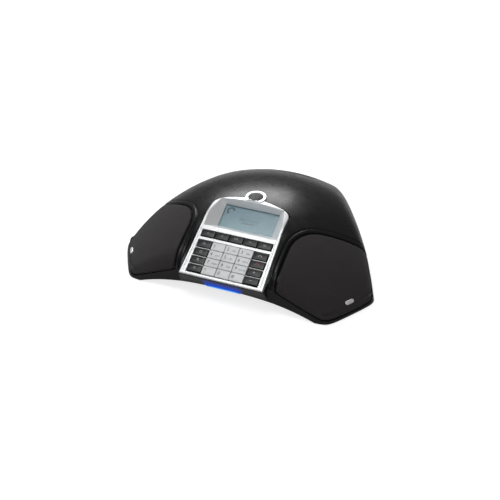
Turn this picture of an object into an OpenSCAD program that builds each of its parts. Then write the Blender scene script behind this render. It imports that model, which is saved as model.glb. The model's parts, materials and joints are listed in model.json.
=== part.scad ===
// Desk conference phone: a low three-legged dome with a sloping key field, a display well,
// a crown microphone and a cloth-covered loudspeaker in each leg.
// Frame: +Z up, Z = 0 is the table. The keys face -Y. X = Y = 0 is the middle of the footprint.
// Inside the modules the dome's own axis is used; placed() moves it to that frame.

/* [Body] */
// Height of the dome's crown above the table
dome_h = 64.5; // [61:0.5:68]
// Radius of the spherical dome
dome_r = 155; // [150:1:160]
// Distance from the dome's axis to each of the three long sides
side_dist = 84; // [82:0.5:90]
// Distance from the dome's axis to the outer end of each leg
tip_dist = 121.5; // [119:0.5:126]
// Radius that trims the outer corners of the legs
corner_r = 123.5; // [122:0.5:128]
// Radius that rolls the long sides over into the dome
side_roll_r = 60; // [40:5:90]
// Height of the arch under each long side
arch_h = 14.5; // [12:0.5:15]
// Depth of the cable bay behind each arch
bay_depth = 20; // [16:1:22]
// Wall thickness of the two shells
wall = 2.6; // [2.2:0.1:3]

/* [Legs] */
// Distance from the middle of the front side to the seats of the cloth panels beside it
front_start = 44.5; // [43:0.5:48]
// Distance from the middle of a rear side to the seats of the cloth panels beside it
rear_start = 52; // [48:0.5:54]
// Radius of a panel seat's inner corner
panel_corner_r = 37; // [30:1:44]
// Width of the shadow gap around a cloth panel
panel_gap = 2.1; // [0.4:0.1:2.6]
// Depth of the seat that a cloth panel lies in
panel_seat = 2.2; // [1.8:0.1:2.6]
// Thickness of a cloth panel
panel_t = 1.8; // [1.4:0.1:2.2]
// Diameter of a loudspeaker
speaker_d = 42; // [36:1:44]
// Diameter of a rubber foot
foot_d = 14; // [10:1:16]
// Height of a rubber foot below the case
foot_h = 1.8; // [1.4:0.1:2.4]

/* [Key field] */
// Slope of the key field
key_tilt = 30; // [28:0.5:32]
// Distance of the key field's lower edge in front of the dome's axis
key_front = 90.5; // [89:0.5:92]
// Height of the key field's lower edge
key_low = 28.4; // [27:0.2:30]
// Pitch of the key rows
row_pitch = 7.7; // [7.4:0.1:7.8]
// Pitch of the number keys' columns
number_pitch = 12.5; // [12:0.1:12.8]
// Width of a function key beside the number block
function_w = 13.2; // [12:0.1:13.4]
// Pitch of the five navigation keys
nav_pitch = 12.8; // [12:0.1:13]
// Height of a navigation key along the slope
nav_h = 6.5; // [6:0.1:6.8]
// Gap between two keys, and between a key and its window
key_gap = 0.4; // [0.3:0.05:0.5]
// Travel of every key
key_travel = 0.7; // [0.5:0.05:0.8]
// Thickness of a key cap
cap_t = 3.1; // [2.9:0.1:3.2]

/* [Bezel and display] */
// Half width of the bezel at the key block's lower edge
bezel_half_w = 37.3; // [36.5:0.1:38]
// Angle at which each side of the bezel leans in towards its arched end
bezel_taper = 1.9; // [0:0.1:2.5]
// Thickness of the bezel plate
bezel_t = 2.6; // [2.2:0.1:2.8]
// Depth of the bezel's face below the key tops
bezel_drop = 1.2; // [0.8:0.1:1.6]
// Length of the bezel along the slope, up to its arched end
bezel_top_u = 81.3; // [80:0.1:83]
// Radius of the bezel's arched end
bezel_arch_r = 92; // [80:2:120]
// Width of the visible display
display_w = 50; // [48:0.5:51]
// Height of the visible display along the slope
display_h = 22.2; // [20:0.2:23]
// Outer diameter of the microphone ring
mic_ring_d = 18.6; // [17:0.2:20]
// Diameter of the microphone grille
mic_grille_d = 12; // [11:0.2:13]
// Width of the status light below the keys
light_w = 33; // [26:1:36]

/* [Hidden] */
NUMBER_NAMES = ["1", "2", "3", "4", "5", "6", "7", "8", "9", "star", "0", "hash"];
$fn = 96;

// Clearances
gap = 0.3;
seat_gap = 0.2;
lip_gap = 0.4;

// Outline and dome
dome_z = dome_h - dome_r;
base_z = foot_h;
side_roll_z = 20;
leg_inset = panel_seat + wall;
arch_half = 86;
arch_steps = 9;
arch_foot_z = base_z - 0.7;
arch_power = 2.6;
bay_half_w = 44;
bay_in = side_dist - bay_depth;
SIDES = [0, 120, 240];
LEGS = [-30, 90, 210];

// Cloth panels: the lower edge falls from the long side's shoulder to the leg's end
panel_low_z = 5;
panel_high_z = 22;
panel_fall = 0.44;
plan_ease = 0.05;
groove_from = 2.5;
groove_to = 3.7;
groove_depth = 0.8;
STARTS = [[front_start, rear_start], [rear_start, rear_start], [rear_start, front_start]];

// Key field: u runs up the slope, h stands out of it, both from the key block's lower edge
keys_u = 4 * row_pitch;
keys_half_w = 1.5 * number_pitch + function_w;
nav_u = keys_u + 3.4;
nav_half_w = 2.5 * nav_pitch;
bezel_lip = 2.7;
bezel_under = bezel_drop + bezel_t;
valley_half_w = bezel_half_w + 0.8;
seat_t = 2;
seat_lip = 1.9;
chin_room_half = bezel_half_w - seat_lip - 1.6;
bezel_shoulder_u = 30;
bezel_shoulder_r = 54.9;
side_groove = [2.6, 0.7, 0.5];
side_groove_u = 48;
front_y = key_front + (bezel_lip + lip_gap) * cos(key_tilt) - (bezel_drop + lip_gap) * sin(key_tilt);

// Stack under the keys, as depths below the key tops
mat_top = bezel_under + 0.1;
mat_t = 1;
stem_d = 3.4;
stem_end = 6.6;
switch_top = stem_end + key_travel + 0.1;
board_top = switch_top + 0.3;
board_t = 1.2;
board_half_w = valley_half_w + 1.2;
board_u1 = 47;
ear_u = [13.5, 40];
ear_x = bezel_half_w - 0.2;

// Display stack, as depths below the key tops
well_floor = 10.6;
well_frame_t = 0.8;
well_wall = 1.6;
well_inset = 0.7;
well_side_lean = 0.89;
well_low_lean = 0.73;
well_top_lean = 0.41;
window_t = 1;
module_t = 2.8;
backlight_t = 3;
carrier_t = 1.4;
display_u = 51.6 + display_h / 2;
window_top = well_floor + well_frame_t;
module_top = window_top + window_t + 0.2;
backlight_top = module_top + module_t;
carrier_end = backlight_top + backlight_t + carrier_t;
window_size = [display_w + 3, display_h + 2];
module_size = [display_w + 4, display_h + 3];
backlight_size = [display_w + 2, display_h + 1];
ribbon_w = 20;
ribbon_t = 0.4;
ribbon_y = [-39.9, -49];
carrier_size = [module_size.x + 2 * carrier_t + 0.4, module_size.y + 2 * carrier_t + 0.4];

// Microphone at the crown, on an axis square to the dome
mic_y = 15;
mic_tilt = asin(mic_y / dome_r);
mic_ring_h = 1.7;
mic_dome_h = 2.6;
mic_seat = 2;
mic_hole_d = 9.6;
mic_boot_h = 3.6;

// Loudspeakers, on axes square to the dome
speaker_tilt = 34;
speaker_seat_r = dome_r - leg_inset - 1.7;
flange_t = 1.5;
basket_h = 9;
magnet_d = 22;
magnet_h = 7;

// Case, feet and boards
floor_t = 2.5;
floor_z = base_z + floor_t;
foot_at = 102;
screw_at = [92, 24];
boss_d = 7;
screw_d = 2.8;
screw_head_d = 5.6;
pcb_r = 57;
pcb_z = 16.2;
pcb_t = 1.6;
pcb_boss_at = 50;
jack_h = pcb_z - floor_z - seat_gap;
jack_out = bay_in - wall - seat_gap;
socket_z = 9.4;
lan_hole = [11.7, 7.8];
aux_hole = [7.8, 6.6];
usb_hole = [8.6, 7.8];
power_hole_d = 6.4;
card_hole = [24.4, 2.4];
card_z = 11.6;
LAN_T = -12;
POWER_T = -32;
USB_T = 8;
AUX_T = 28;
MIC_T = [-28, 28];
CARD_T = 0;

// Badges on the legs, on axes square to the dome
badge_size = [3.6, 8.6];
badge_tilt = 48.6;

// ---------- frames ----------

// Dome axis to the middle of the footprint
module placed() {
    translate([0, (front_y - tip_dist) / 2, 0]) children();
}

// X across the keys, Y up the slope, Z out of the slope
module on_slope() {
    translate([0, -key_front, key_low]) rotate([key_tilt, 0, 0]) children();
}

// Z along the microphone's axis, from the dome's skin
module at_mic() {
    translate([0, 0, dome_z]) rotate([mic_tilt, 0, 0]) translate([0, 0, dome_r]) children();
}

// Z along a loudspeaker's axis, from its seat; the leg lies along +X before the turn
module at_speaker(leg) {
    rotate([0, 0, leg]) translate([0, 0, dome_z]) rotate([0, speaker_tilt, 0])
        translate([0, 0, speaker_seat_r]) children();
}

// A long side facing -Y turned to its place
module at_side(side) {
    rotate([0, 0, side]) children();
}

module each_leg() {
    for (leg = LEGS) rotate([0, 0, leg]) children();
}

// ---------- body forms ----------

// Everything inside one long side that faces -Y, set in by d
module side_form(d) {
    rotate([90, 0, 90]) linear_extrude(400, center = true) {
        translate([side_roll_r - side_dist, -5]) square([300, 120]);
        translate([side_roll_r - side_dist, side_roll_z]) circle(side_roll_r - d, $fn = 180);
        translate([d - side_dist, -5]) square([side_roll_r - d, side_roll_z + 5]);
    }
}

// The closed outer form of the whole case, set in by d, from the height low upwards
module envelope(d, low = -4) {
    intersection() {
        translate([0, 0, dome_z]) sphere(dome_r - d, $fn = 240);
        translate([0, 0, low]) cylinder(r = corner_r - d, h = 100, $fn = 240);
        intersection_for (side = SIDES) rotate([0, 0, side]) side_form(d);
        intersection_for (leg = LEGS) rotate([0, 0, leg])
            translate([tip_dist - d - 400, -200, -5]) cube([400, 400, 110]);
    }
}

// Plan of leg i's panel seat with the leg along +X, set in by d: two straight edges, each
// square to the long side it starts from, joined by a round corner that crosses them slightly
module leg_plan(i, d) {
    s = STARTS[i];
    across = [[cos(30), sin(30)], [cos(30), -sin(30)]];
    down = [[sin(30), -cos(30)], [sin(30), cos(30)]];
    centre = [(s[0] + s[1] + 2 * panel_corner_r) / (2 * cos(30)), (s[0] - s[1]) / (2 * sin(30))];
    r = panel_corner_r - d;
    ends = [for (k = [0, 1]) centre - r * across[k]];
    translate(centre) circle(r + plan_ease, $fn = 120);
    polygon([ends[0], ends[0] + 160 * down[0], ends[1] + 160 * down[1], ends[1]]);
}

// Leg i's panel zone as an upright block, set in by d
module leg_zone(i, d) {
    rotate([0, 0, LEGS[i]]) translate([0, 0, -10]) linear_extrude(120) leg_plan(i, d);
}

// What lies above the lower edge of leg i's panel, raised by rise
module above_panel_edge(i, rise) {
    slope = atan(panel_fall);
    rotate([0, 0, LEGS[i]]) intersection() {
        translate([-200, -200, panel_low_z + rise]) cube([400, 400, 100]);
        intersection_for (k = [0, 1]) rotate([0, 0, 30 - 60 * k])
            translate([STARTS[i][k], 0, panel_high_z + rise]) rotate([0, slope, 0])
                translate([-200, -200, 0]) cube([400, 400, 300]);
    }
}

// Room inside the case, set in by an extra c
module inner_space(c) {
    envelope(leg_inset + c);
    difference() {
        envelope(wall + c);
        for (i = [0:2]) leg_zone(i, -wall - c);
    }
}

// Height of an arch at a distance t from the middle of its side
function arch_z(t) = arch_foot_z + (arch_h - arch_foot_z) * (1 - pow(min(abs(t) / arch_half, 1), arch_power));

// The cable bay under the long side that faces -Y, grown by d
module bay_block(d) {
    half = arch_half + d;
    tops = [for (i = [-arch_steps:arch_steps]) let (t = half * i / arch_steps)
        [t, arch_z(t * arch_half / half) + d]];
    intersection() {
        rotate([90, 0, 0]) linear_extrude(200)
            polygon(concat([[half, -5], [-half, -5]], tops));
        translate([0, 0, -5]) linear_extrude(40) polygon([
            [-bay_half_w - d, d - bay_in], [bay_half_w + d, d - bay_in],
            [half, -side_dist + 1], [half, -160], [-half, -160], [-half, -side_dist + 1]]);
    }
}

// The valley that holds the key field: its floor lies depth below the key tops
module valley(depth, grow) {
    w = valley_half_w + grow;
    rise = 60;
    on_slope() intersection_for (hand = [0, 1]) mirror([hand, 0, 0]) rotate([0, 0, bezel_taper])
        rotate([90, 0, 0]) translate([0, 0, -140]) linear_extrude(200)
            polygon([[-120, -depth], [w, -depth], [w + rise, rise - depth], [-120, rise - depth]]);
}

// Outline of the bezel on the slope, grown by d: sides that lean in, an arched and shouldered top
module bezel_outline(d) {
    intersection() {
        translate([-60, -bezel_lip - d]) square([120, bezel_top_u + 20]);
        intersection_for (hand = [0, 1]) mirror([hand, 0]) rotate(bezel_taper)
            translate([-150, -80]) square([150 + bezel_half_w + d, 240]);
        translate([0, bezel_top_u - bezel_arch_r]) circle(bezel_arch_r + d, $fn = 240);
        translate([0, bezel_shoulder_u]) circle(bezel_shoulder_r + d, $fn = 240);
    }
}

module bezel_block(d, low, high) {
    on_slope() translate([0, 0, low]) linear_extrude(high - low) bezel_outline(d);
}

// Below the slope and inside the dome: the bezel follows whichever is lower
module under_skin(depth, skin) {
    intersection() {
        on_slope() translate([-80, -60, -120 - depth]) cube([160, 240, 120]);
        translate([0, 0, dome_z]) sphere(dome_r + skin, $fn = 240);
    }
}

// The display well, grown by d, down to a floor at the given depth; its four walls lean outwards
module well(d, floor_depth) {
    top = 3;
    down = floor_depth - well_floor;
    rise = well_floor + top;
    u0 = display_u - display_h / 2 - d;
    u1 = display_u + display_h / 2 + d;
    half = display_w / 2 + d;
    on_slope() intersection() {
        rotate([90, 0, 90]) linear_extrude(160, center = true) polygon([
            [u0 + down * well_low_lean, -floor_depth], [u1 - down * well_top_lean, -floor_depth],
            [u1 + rise * well_top_lean, top], [u0 - rise * well_low_lean, top]]);
        translate([0, 150, 0]) rotate([90, 0, 0]) linear_extrude(200) polygon([
            [-half + down * well_side_lean, -floor_depth], [half - down * well_side_lean, -floor_depth],
            [half + rise * well_side_lean, top], [-half - rise * well_side_lean, top]]);
    }
}

// ---------- shells ----------

module top_shell() {
    color([0.07, 0.07, 0.075]) placed() difference() {
        union() {
            difference() {
                union() {
                    difference() {
                        envelope(0, base_z);
                        valley(bezel_drop + lip_gap, 0);
                    }
                    chin();
                }
                difference() {
                    inner_space(0);
                    valley(bezel_under + seat_t, wall * 1.4);
                    difference() {
                        bezel_block(2.4, -30, 20);
                        translate([0, 0, dome_z]) sphere(dome_r - leg_inset, $fn = 240);
                    }
                }
                chin_room();
            }
            intersection() {
                envelope(panel_seat + 0.8);
                union() {
                    case_bosses();
                    for (leg = LEGS) at_speaker(leg) cylinder(d = speaker_d + 8, h = 4);
                }
            }
            for (u = ear_u, hand = [-1, 1]) on_slope() translate([hand * ear_x, u, -board_top])
                cylinder(d = 4.4, h = board_top - bezel_under - 1);
        }
        panel_seats();
        // seat and opening of the bezel
        difference() {
            bezel_block(gap, -14, 12);
            under_skin(bezel_under, bezel_drop - bezel_t - lip_gap);
        }
        intersection() {
            bezel_block(-seat_lip, -40, 20);
            translate([0, 0, 12]) cylinder(r = 130, h = 80);
        }
        intersection() {
            bezel_block(gap - well_inset, -42, 14);
            well(well_wall + gap, window_top + 8);
        }
        display_plate(carrier_size + [2 * gap, 2 * gap], window_top - well_frame_t - gap, 20);
        at_mic() translate([0, 0, -mic_seat]) cylinder(d = mic_ring_d + 2 * gap, h = 10);
        at_mic() translate([0, 0, -20]) cylinder(d = mic_hole_d, h = 30);
        for (leg = LEGS) at_speaker(leg) translate([0, 0, -10]) cylinder(d = speaker_d - 6, h = 30);
        for (leg = LEGS, a = [0, 120, 240]) at_speaker(leg) rotate([0, 0, a])
            translate([speaker_d / 2 + 1.2, 0, -1]) cylinder(d = 2.2, h = 3.4);
        case_screw_holes(screw_d + 0.2, 14);
        for (side = SIDES) at_side(side) bay_block(0);
        light_slots(gap);
        for (u = ear_u, hand = [-1, 1]) on_slope() translate([hand * ear_x, u, -board_top - 1])
            cylinder(d = 2, h = 4);
    }
}

// Seats of the cloth panels, each with a fine groove around it that leaves a rib between
module panel_seats() {
    intersection() {
        difference() {
            envelope(-1);
            envelope(panel_seat);
        }
        for (i = [0:2]) intersection() {
            leg_zone(i, 0);
            above_panel_edge(i, 0);
        }
    }
    intersection() {
        difference() {
            envelope(-1);
            envelope(groove_depth);
        }
        for (i = [0:2]) difference() {
            intersection() {
                leg_zone(i, -groove_to);
                above_panel_edge(i, -groove_to);
            }
            leg_zone(i, -groove_from);
        }
    }
}

// The lip of the shell that carries the bezel's lower edge, square to the key field
module chin() {
    intersection() {
        on_slope() translate([-valley_half_w, -bezel_lip - lip_gap, -16])
            cube([2 * valley_half_w, 14, 16 - bezel_drop - lip_gap]);
        translate([-100, -200, 0]) cube([200, 200 - side_dist + 4, 60]);
    }
}

module chin_room() {
    intersection() {
        on_slope() translate([-chin_room_half, -bezel_lip - lip_gap + wall, -22])
            cube([2 * chin_room_half, 20, 22 - bezel_under - seat_t]);
        translate([-100, -200, 0]) cube([200, 200 - side_dist + 5, 60]);
    }
}

module case_bosses() {
    each_leg() for (hand = [-1, 1]) translate([screw_at.x, hand * screw_at.y, floor_z])
        cylinder(d = boss_d, h = 40);
}

module case_screw_holes(d, h) {
    each_leg() for (hand = [-1, 1]) translate([screw_at.x, hand * screw_at.y, floor_z - 0.1])
        cylinder(d = d, h = h);
}

module bottom_shell() {
    color([0.06, 0.06, 0.065]) placed() difference() {
        union() {
            intersection() {
                inner_space(gap);
                translate([0, 0, base_z]) cylinder(r = 140, h = floor_t);
            }
            each_leg() translate([pcb_boss_at, 0, floor_z - 1]) cylinder(d = boss_d, h = pcb_z - floor_z + 1);
        }
        for (side = SIDES) at_side(side) bay_block(0);
        each_leg() {
            translate([pcb_boss_at, 0, floor_z]) cylinder(d = screw_d + 0.2, h = 30);
            translate([foot_at, 0, base_z - 1]) cylinder(d = foot_d + 0.2, h = 1.8);
            for (hand = [-1, 1]) translate([screw_at.x, hand * screw_at.y, base_z - 1]) {
                cylinder(d = screw_d + 0.6, h = 10);
                cylinder(d = screw_head_d + 0.4, h = 2.4);
            }
        }
    }
}

// Lining of the cable bay under one long side: a roof and a back wall that stand on the floor
module bay_lining(side) {
    color([0.06, 0.06, 0.065]) placed() difference() {
        intersection() {
            inner_space(gap);
            translate([0, 0, floor_z]) cylinder(r = 140, h = 30);
            at_side(side) bay_block(wall);
        }
        at_side(side) bay_block(0);
        jack_windows();
    }
}

// ---------- bezel and display ----------

module bezel() {
    color([0.74, 0.75, 0.77]) placed() difference() {
        union() {
            intersection() {
                bezel_block(0, -30, 12);
                under_skin(bezel_drop, bezel_drop);
                union() {
                    difference() {
                        bezel_block(2, -24, 13);
                        under_skin(bezel_under, bezel_drop - bezel_t);
                    }
                    intersection() {
                        well(well_wall, window_top);
                        bezel_block(-well_inset, -28, 14);
                    }
                }
            }
            display_plate(carrier_size, window_top - well_frame_t / 2, well_frame_t / 2);
            at_mic() translate([0, 0, lip_gap - mic_seat]) cylinder(d = mic_ring_d, h = mic_seat + mic_ring_h - lip_gap);
        }
        well(0, well_floor);
        display_plate([display_w, display_h], -10, 30);
        on_slope() {
            key_windows();
            for (hand = [0, 1]) mirror([hand, 0, 0]) rotate([0, 0, bezel_taper])
                translate([bezel_half_w - side_groove.x, 0, -bezel_drop - side_groove.z])
                    cube([side_groove.y, side_groove_u, 2]);
        }
        at_mic() translate([0, 0, -6]) cylinder(d = mic_grille_d + 2 * gap, h = 12);
    }
}

// Windows for the key block and the navigation keys; thin bars part the function keys
module key_windows() {
    low = -bezel_under - 1;
    difference() {
        translate([-keys_half_w - key_gap, -key_gap, low])
            cube([2 * (keys_half_w + key_gap), keys_u + 2 * key_gap, 8]);
        for (row = [1:3], hand = [0, 1]) mirror([hand, 0, 0])
            translate([1.5 * number_pitch + key_gap, row * row_pitch - 0.35, low])
                cube([function_w + 2, 0.7, 8]);
    }
    translate([-nav_half_w - key_gap, nav_u - key_gap, low])
        cube([2 * (nav_half_w + key_gap), nav_h + 2 * key_gap, 8]);
}

// A plate of the display stack, centred on the display, with its top at a given depth
module display_plate(size, top, thick) {
    on_slope() translate([-size.x / 2, display_u - size.y / 2, -top - thick]) cube([size.x, size.y, thick]);
}

module display_window() {
    color([0.75, 0.82, 0.85, 0.4]) placed() display_plate(window_size, window_top, window_t);
}

module display_module() {
    color([0.55, 0.66, 0.70]) placed() display_plate(module_size, module_top, module_t);
}

module display_backlight() {
    color([0.93, 0.94, 0.92]) placed() display_plate(backlight_size, backlight_top, backlight_t);
}

// Tray that holds the display to the back of the bezel, with four screw ears
module display_carrier() {
    depth = carrier_end - window_top;
    color([0.16, 0.16, 0.17]) placed() difference() {
        display_plate(carrier_size, window_top, depth);
        display_plate(window_size + [0.4, 0.4], window_top - 1, window_t + 1.2);
        display_plate(module_size + [0.3, 0.3], module_top, module_t);
        display_plate(backlight_size + [0.3, 0.3], backlight_top, backlight_t);
        on_slope() translate([-ribbon_w / 2 - 1, display_u - module_size.y / 2 - 3, -carrier_end - 1])
            cube([ribbon_w + 2, 5.2, carrier_end - backlight_top + 1]);
    }
}

// ---------- keys ----------

// One key: a crowned cap with a stem that reaches through the keymat
module key(x0, u0, w, l, tint, crown_r) {
    color(tint) placed() on_slope() {
        intersection() {
            translate([x0 + key_gap / 2, u0, -cap_t]) cube([w - key_gap, l, cap_t]);
            translate([x0 + w / 2, u0 - 1, -crown_r]) rotate([-90, 0, 0])
                cylinder(r = crown_r, h = l + 2, $fn = 180);
        }
        translate([x0 + w / 2, u0 + l / 2, -stem_end]) cylinder(d = stem_d, h = stem_end - cap_t + 1, $fn = 32);
    }
}

module nav_key(i) {
    key(-nav_half_w + i * nav_pitch, nav_u, nav_pitch, nav_h, [0.05, 0.05, 0.055], 60);
}

module function_key(side, row) {
    x0 = side < 0 ? -keys_half_w : 1.5 * number_pitch;
    key(x0, (3 - row) * row_pitch + 0.35 + key_gap / 2, function_w, row_pitch - 0.7 - key_gap,
        [0.05, 0.05, 0.055], 60);
}

module number_key(i) {
    key((i % 3 - 1.5) * number_pitch, (3 - floor(i / 3)) * row_pitch + key_gap / 2,
        number_pitch, row_pitch - key_gap, [0.82, 0.83, 0.84], 40);
}

// Centres of every key on the slope
function key_centres() = concat(
    [for (i = [0:4]) [-nav_half_w + (i + 0.5) * nav_pitch, nav_u + nav_h / 2]],
    [for (row = [0:3], hand = [-1, 1])
        [hand * (keys_half_w - function_w / 2), (3 - row + 0.5) * row_pitch]],
    [for (i = [0:11]) [(i % 3 - 1) * number_pitch, (3 - floor(i / 3) + 0.5) * row_pitch]]);

// Rubber mat: a sheet with a hole for every stem and a skirt that stands on the board
module keymat() {
    half = keys_half_w + 0.3;
    length = nav_u + nav_h + 1;
    color([0.2, 0.2, 0.21]) placed() on_slope() difference() {
        translate([-half, 0, -board_top]) cube([2 * half, length, board_top - mat_top]);
        translate([-half + 1.4, 1.4, -board_top - 1])
            cube([2 * half - 2.8, length - 2.8, board_top - mat_top - mat_t + 1]);
        for (c = key_centres()) translate([c.x, c.y, -10]) cylinder(d = stem_d + 0.5, h = 10, $fn = 32);
    }
}

// Circuit board under the keys, with a raised switch below every stem
module keypad_board() {
    color([0.09, 0.32, 0.20]) placed() on_slope() difference() {
        union() {
            translate([-keys_half_w - 0.4, 0, -board_top - board_t])
                cube([2 * keys_half_w + 0.8, board_u1, board_t]);
            for (u = ear_u) translate([-board_half_w, u - 4, -board_top - board_t])
                cube([2 * board_half_w, 8, board_t]);
            for (c = key_centres()) translate([c.x, c.y, -board_top]) cylinder(d = 4.2, h = board_top - switch_top, $fn = 32);
        }
        for (u = ear_u, hand = [-1, 1]) translate([hand * ear_x, u, -board_top - 2]) cylinder(d = 2.4, h = 4);
    }
}

// ---------- microphone and lights ----------

module mic_grille() {
    color([0.22, 0.22, 0.23]) placed() at_mic() intersection() {
        translate([0, 0, -mic_seat]) cylinder(d = mic_grille_d, h = 6);
        translate([0, 0, mic_dome_h - mic_ring_d]) sphere(mic_ring_d);
    }
}

// Rubber cup that fills the crown hole below the grille and holds the capsule
module mic_boot() {
    color([0.12, 0.12, 0.12]) placed() at_mic() translate([0, 0, -mic_seat - mic_boot_h]) difference() {
        cylinder(d = mic_hole_d - 2 * gap, h = mic_boot_h);
        translate([0, 0, 0.8]) cylinder(d = 6.6, h = mic_boot_h);
    }
}

module mic_capsule() {
    color([0.6, 0.6, 0.58]) placed() at_mic() translate([0, 0, 0.8 - mic_seat - mic_boot_h])
        cylinder(d = 6, h = 2.2);
}

// Bars that show the call's state: one below the keys and one over each rear arch
module status_lights() {
    color([0.12, 0.3, 0.95]) placed() light_slots(0);
}

module light_slots(grow) {
    h = 3.4;
    on_slope() translate([-light_w / 2 - grow, -bezel_lip - lip_gap - (grow > 0 ? 1 : 0.2), -14.4 - grow])
        cube([light_w + 2 * grow, wall + 1 + (grow > 0 ? 1.4 : 0.4), h + 2 * grow]);
    for (side = [120, 240]) at_side(side)
        translate([-light_w / 2 - grow, -side_dist - (grow > 0 ? 1 : 0.2), arch_h + wall + 0.5 - grow])
            cube([light_w + 2 * grow, wall + 1 + (grow > 0 ? 1 : 0.2), h + 2 * grow]);
}

// ---------- boards ----------

module main_board() {
    color([0.08, 0.30, 0.19]) placed() difference() {
        translate([0, 0, pcb_z]) cylinder(r = pcb_r, h = pcb_t, $fn = 180);
        each_leg() translate([pcb_boss_at, 0, pcb_z - 1]) cylinder(d = screw_d + 0.4, h = 4);
    }
}

// Flat cables from the main board up to the display and to the key board
module ribbon_cables() {
    color([0.85, 0.72, 0.45]) placed() {
        ribbon(-ribbon_w / 2, ribbon_y[0], backlight_top);
        ribbon(-ribbon_w - 6, ribbon_y[1], board_top + board_t);
    }
}

module ribbon(x0, y0, under) {
    difference() {
        translate([x0, y0, pcb_z + pcb_t]) cube([ribbon_w, ribbon_t, 50]);
        on_slope() translate([-80, -80, -under]) cube([160, 240, 80]);
    }
}

// ---------- legs ----------

// Cloth-covered panel of one leg: it follows the dome and wraps down both long sides
module grille(i) {
    color([0.22, 0.21, 0.21]) placed() difference() {
        intersection() {
            difference() {
                envelope(panel_seat - panel_t - 0.2);
                envelope(panel_seat - 0.2);
            }
            leg_zone(i, panel_gap);
            above_panel_edge(i, seat_gap);
        }
        rotate([0, 0, LEGS[i]]) badge_form(0.1);
    }
}

// Bare pill-shaped badge set into a cloth panel near the leg's end
module badge_form(grow) {
    translate([0, 0, dome_z]) rotate([0, badge_tilt, 0]) translate([0, 0, dome_r - 1.2 - grow])
        linear_extrude(1.6 + 2 * grow) {
            square([badge_size.x + 2 * grow, badge_size.y - badge_size.x], center = true);
            for (hand = [-1, 1]) translate([0, hand * (badge_size.y - badge_size.x) / 2])
                circle(badge_size.x / 2 + grow, $fn = 48);
        }
}

module leg_badges() {
    color([0.85, 0.86, 0.87]) placed() each_leg() badge_form(0);
}

module speaker_frames() {
    color([0.25, 0.25, 0.26]) placed() for (leg = LEGS) at_speaker(leg) rotate_extrude($fn = 96) {
        polygon([[speaker_d / 2 - 5, -flange_t], [speaker_d / 2, -flange_t], [speaker_d / 2, 0],
                 [speaker_d / 2 - 5, 0]]);
        polygon([[speaker_d / 2 - 5, -flange_t], [speaker_d / 2 - 3.4, -flange_t],
                 [magnet_d / 2, -flange_t - basket_h], [5, -flange_t - basket_h],
                 [5, -flange_t - basket_h + 1.4], [magnet_d / 2 - 1, -flange_t - basket_h + 1.4]]);
    }
}

// Cone, surround and dust cap in one moulding
module speaker_cones() {
    rim = speaker_d / 2 - 5.1;
    color([0.1, 0.1, 0.1]) placed() for (leg = LEGS) at_speaker(leg) rotate_extrude($fn = 96)
        polygon([[0, -flange_t - basket_h + 3.6], [4.6, -flange_t - basket_h + 2.6],
                 [rim, -flange_t + 0.1], [rim, 0], [rim - 1.6, 0], [5.4, -flange_t - basket_h + 4.6],
                 [0, -flange_t - basket_h + 5.4]]);
}

module speaker_magnets() {
    color([0.5, 0.5, 0.52]) placed() for (leg = LEGS) at_speaker(leg)
        translate([0, 0, -flange_t - basket_h - magnet_h]) cylinder(d = magnet_d, h = magnet_h);
}

// ---------- sockets ----------

// A board-mounted socket that faces the bay of the long side facing -Y
module socket_block(t, w, depth) {
    translate([t - w / 2, -jack_out, pcb_z - jack_h]) cube([w, depth, jack_h]);
}

module socket_hole(t, size, deep) {
    translate([t - size.x / 2, -jack_out - 8, socket_z - size.y / 2]) cube([size.x, deep + 8, size.y]);
}

// Modular socket: a stepped hole with a latch slot above it
module modular_socket(t, w, hole) {
    difference() {
        socket_block(t, w, 16);
        socket_hole(t, hole, 12);
        translate([t - hole.x * 0.2, -jack_out - 1, socket_z]) cube([hole.x * 0.4, 8, hole.y / 2 + 1.4]);
    }
}

module lan_jack() {
    color([0.62, 0.63, 0.65]) placed() at_side(SIDES[1]) modular_socket(LAN_T, 15.6, lan_hole);
}

module aux_socket() {
    color([0.10, 0.10, 0.11]) placed() at_side(SIDES[1]) modular_socket(AUX_T, 11.4, aux_hole);
}

module mic_sockets() {
    color([0.10, 0.10, 0.11]) placed() at_side(SIDES[2])
        for (t = MIC_T) modular_socket(t, 11.4, aux_hole);
}

module power_jack() {
    color([0.08, 0.08, 0.08]) placed() at_side(SIDES[1]) {
        difference() {
            socket_block(POWER_T, 10, 14);
            translate([POWER_T, -jack_out - 1, socket_z]) rotate([-90, 0, 0]) cylinder(d = power_hole_d, h = 11);
        }
        translate([POWER_T, -jack_out + 1, socket_z]) rotate([-90, 0, 0]) cylinder(d = 2, h = 10);
    }
}

module usb_socket() {
    color([0.70, 0.71, 0.73]) placed() at_side(SIDES[1]) {
        difference() {
            socket_block(USB_T, 12, 15);
            socket_hole(USB_T, usb_hole, 10);
        }
        translate([USB_T - 2.8, -jack_out + 1, socket_z + 1]) cube([5.6, 10, 2.4]);
    }
}

// Card reader: a flat metal cage with a narrow slot
module card_socket() {
    color([0.70, 0.71, 0.73]) placed() at_side(SIDES[2]) difference() {
        translate([CARD_T - 13.5, -jack_out, card_z - 1.8]) cube([27, 26, pcb_z - card_z + 1.8]);
        translate([CARD_T - card_hole.x / 2, -jack_out - 1, card_z - card_hole.y / 2])
            cube([card_hole.x, 24, card_hole.y]);
    }
}

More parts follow.
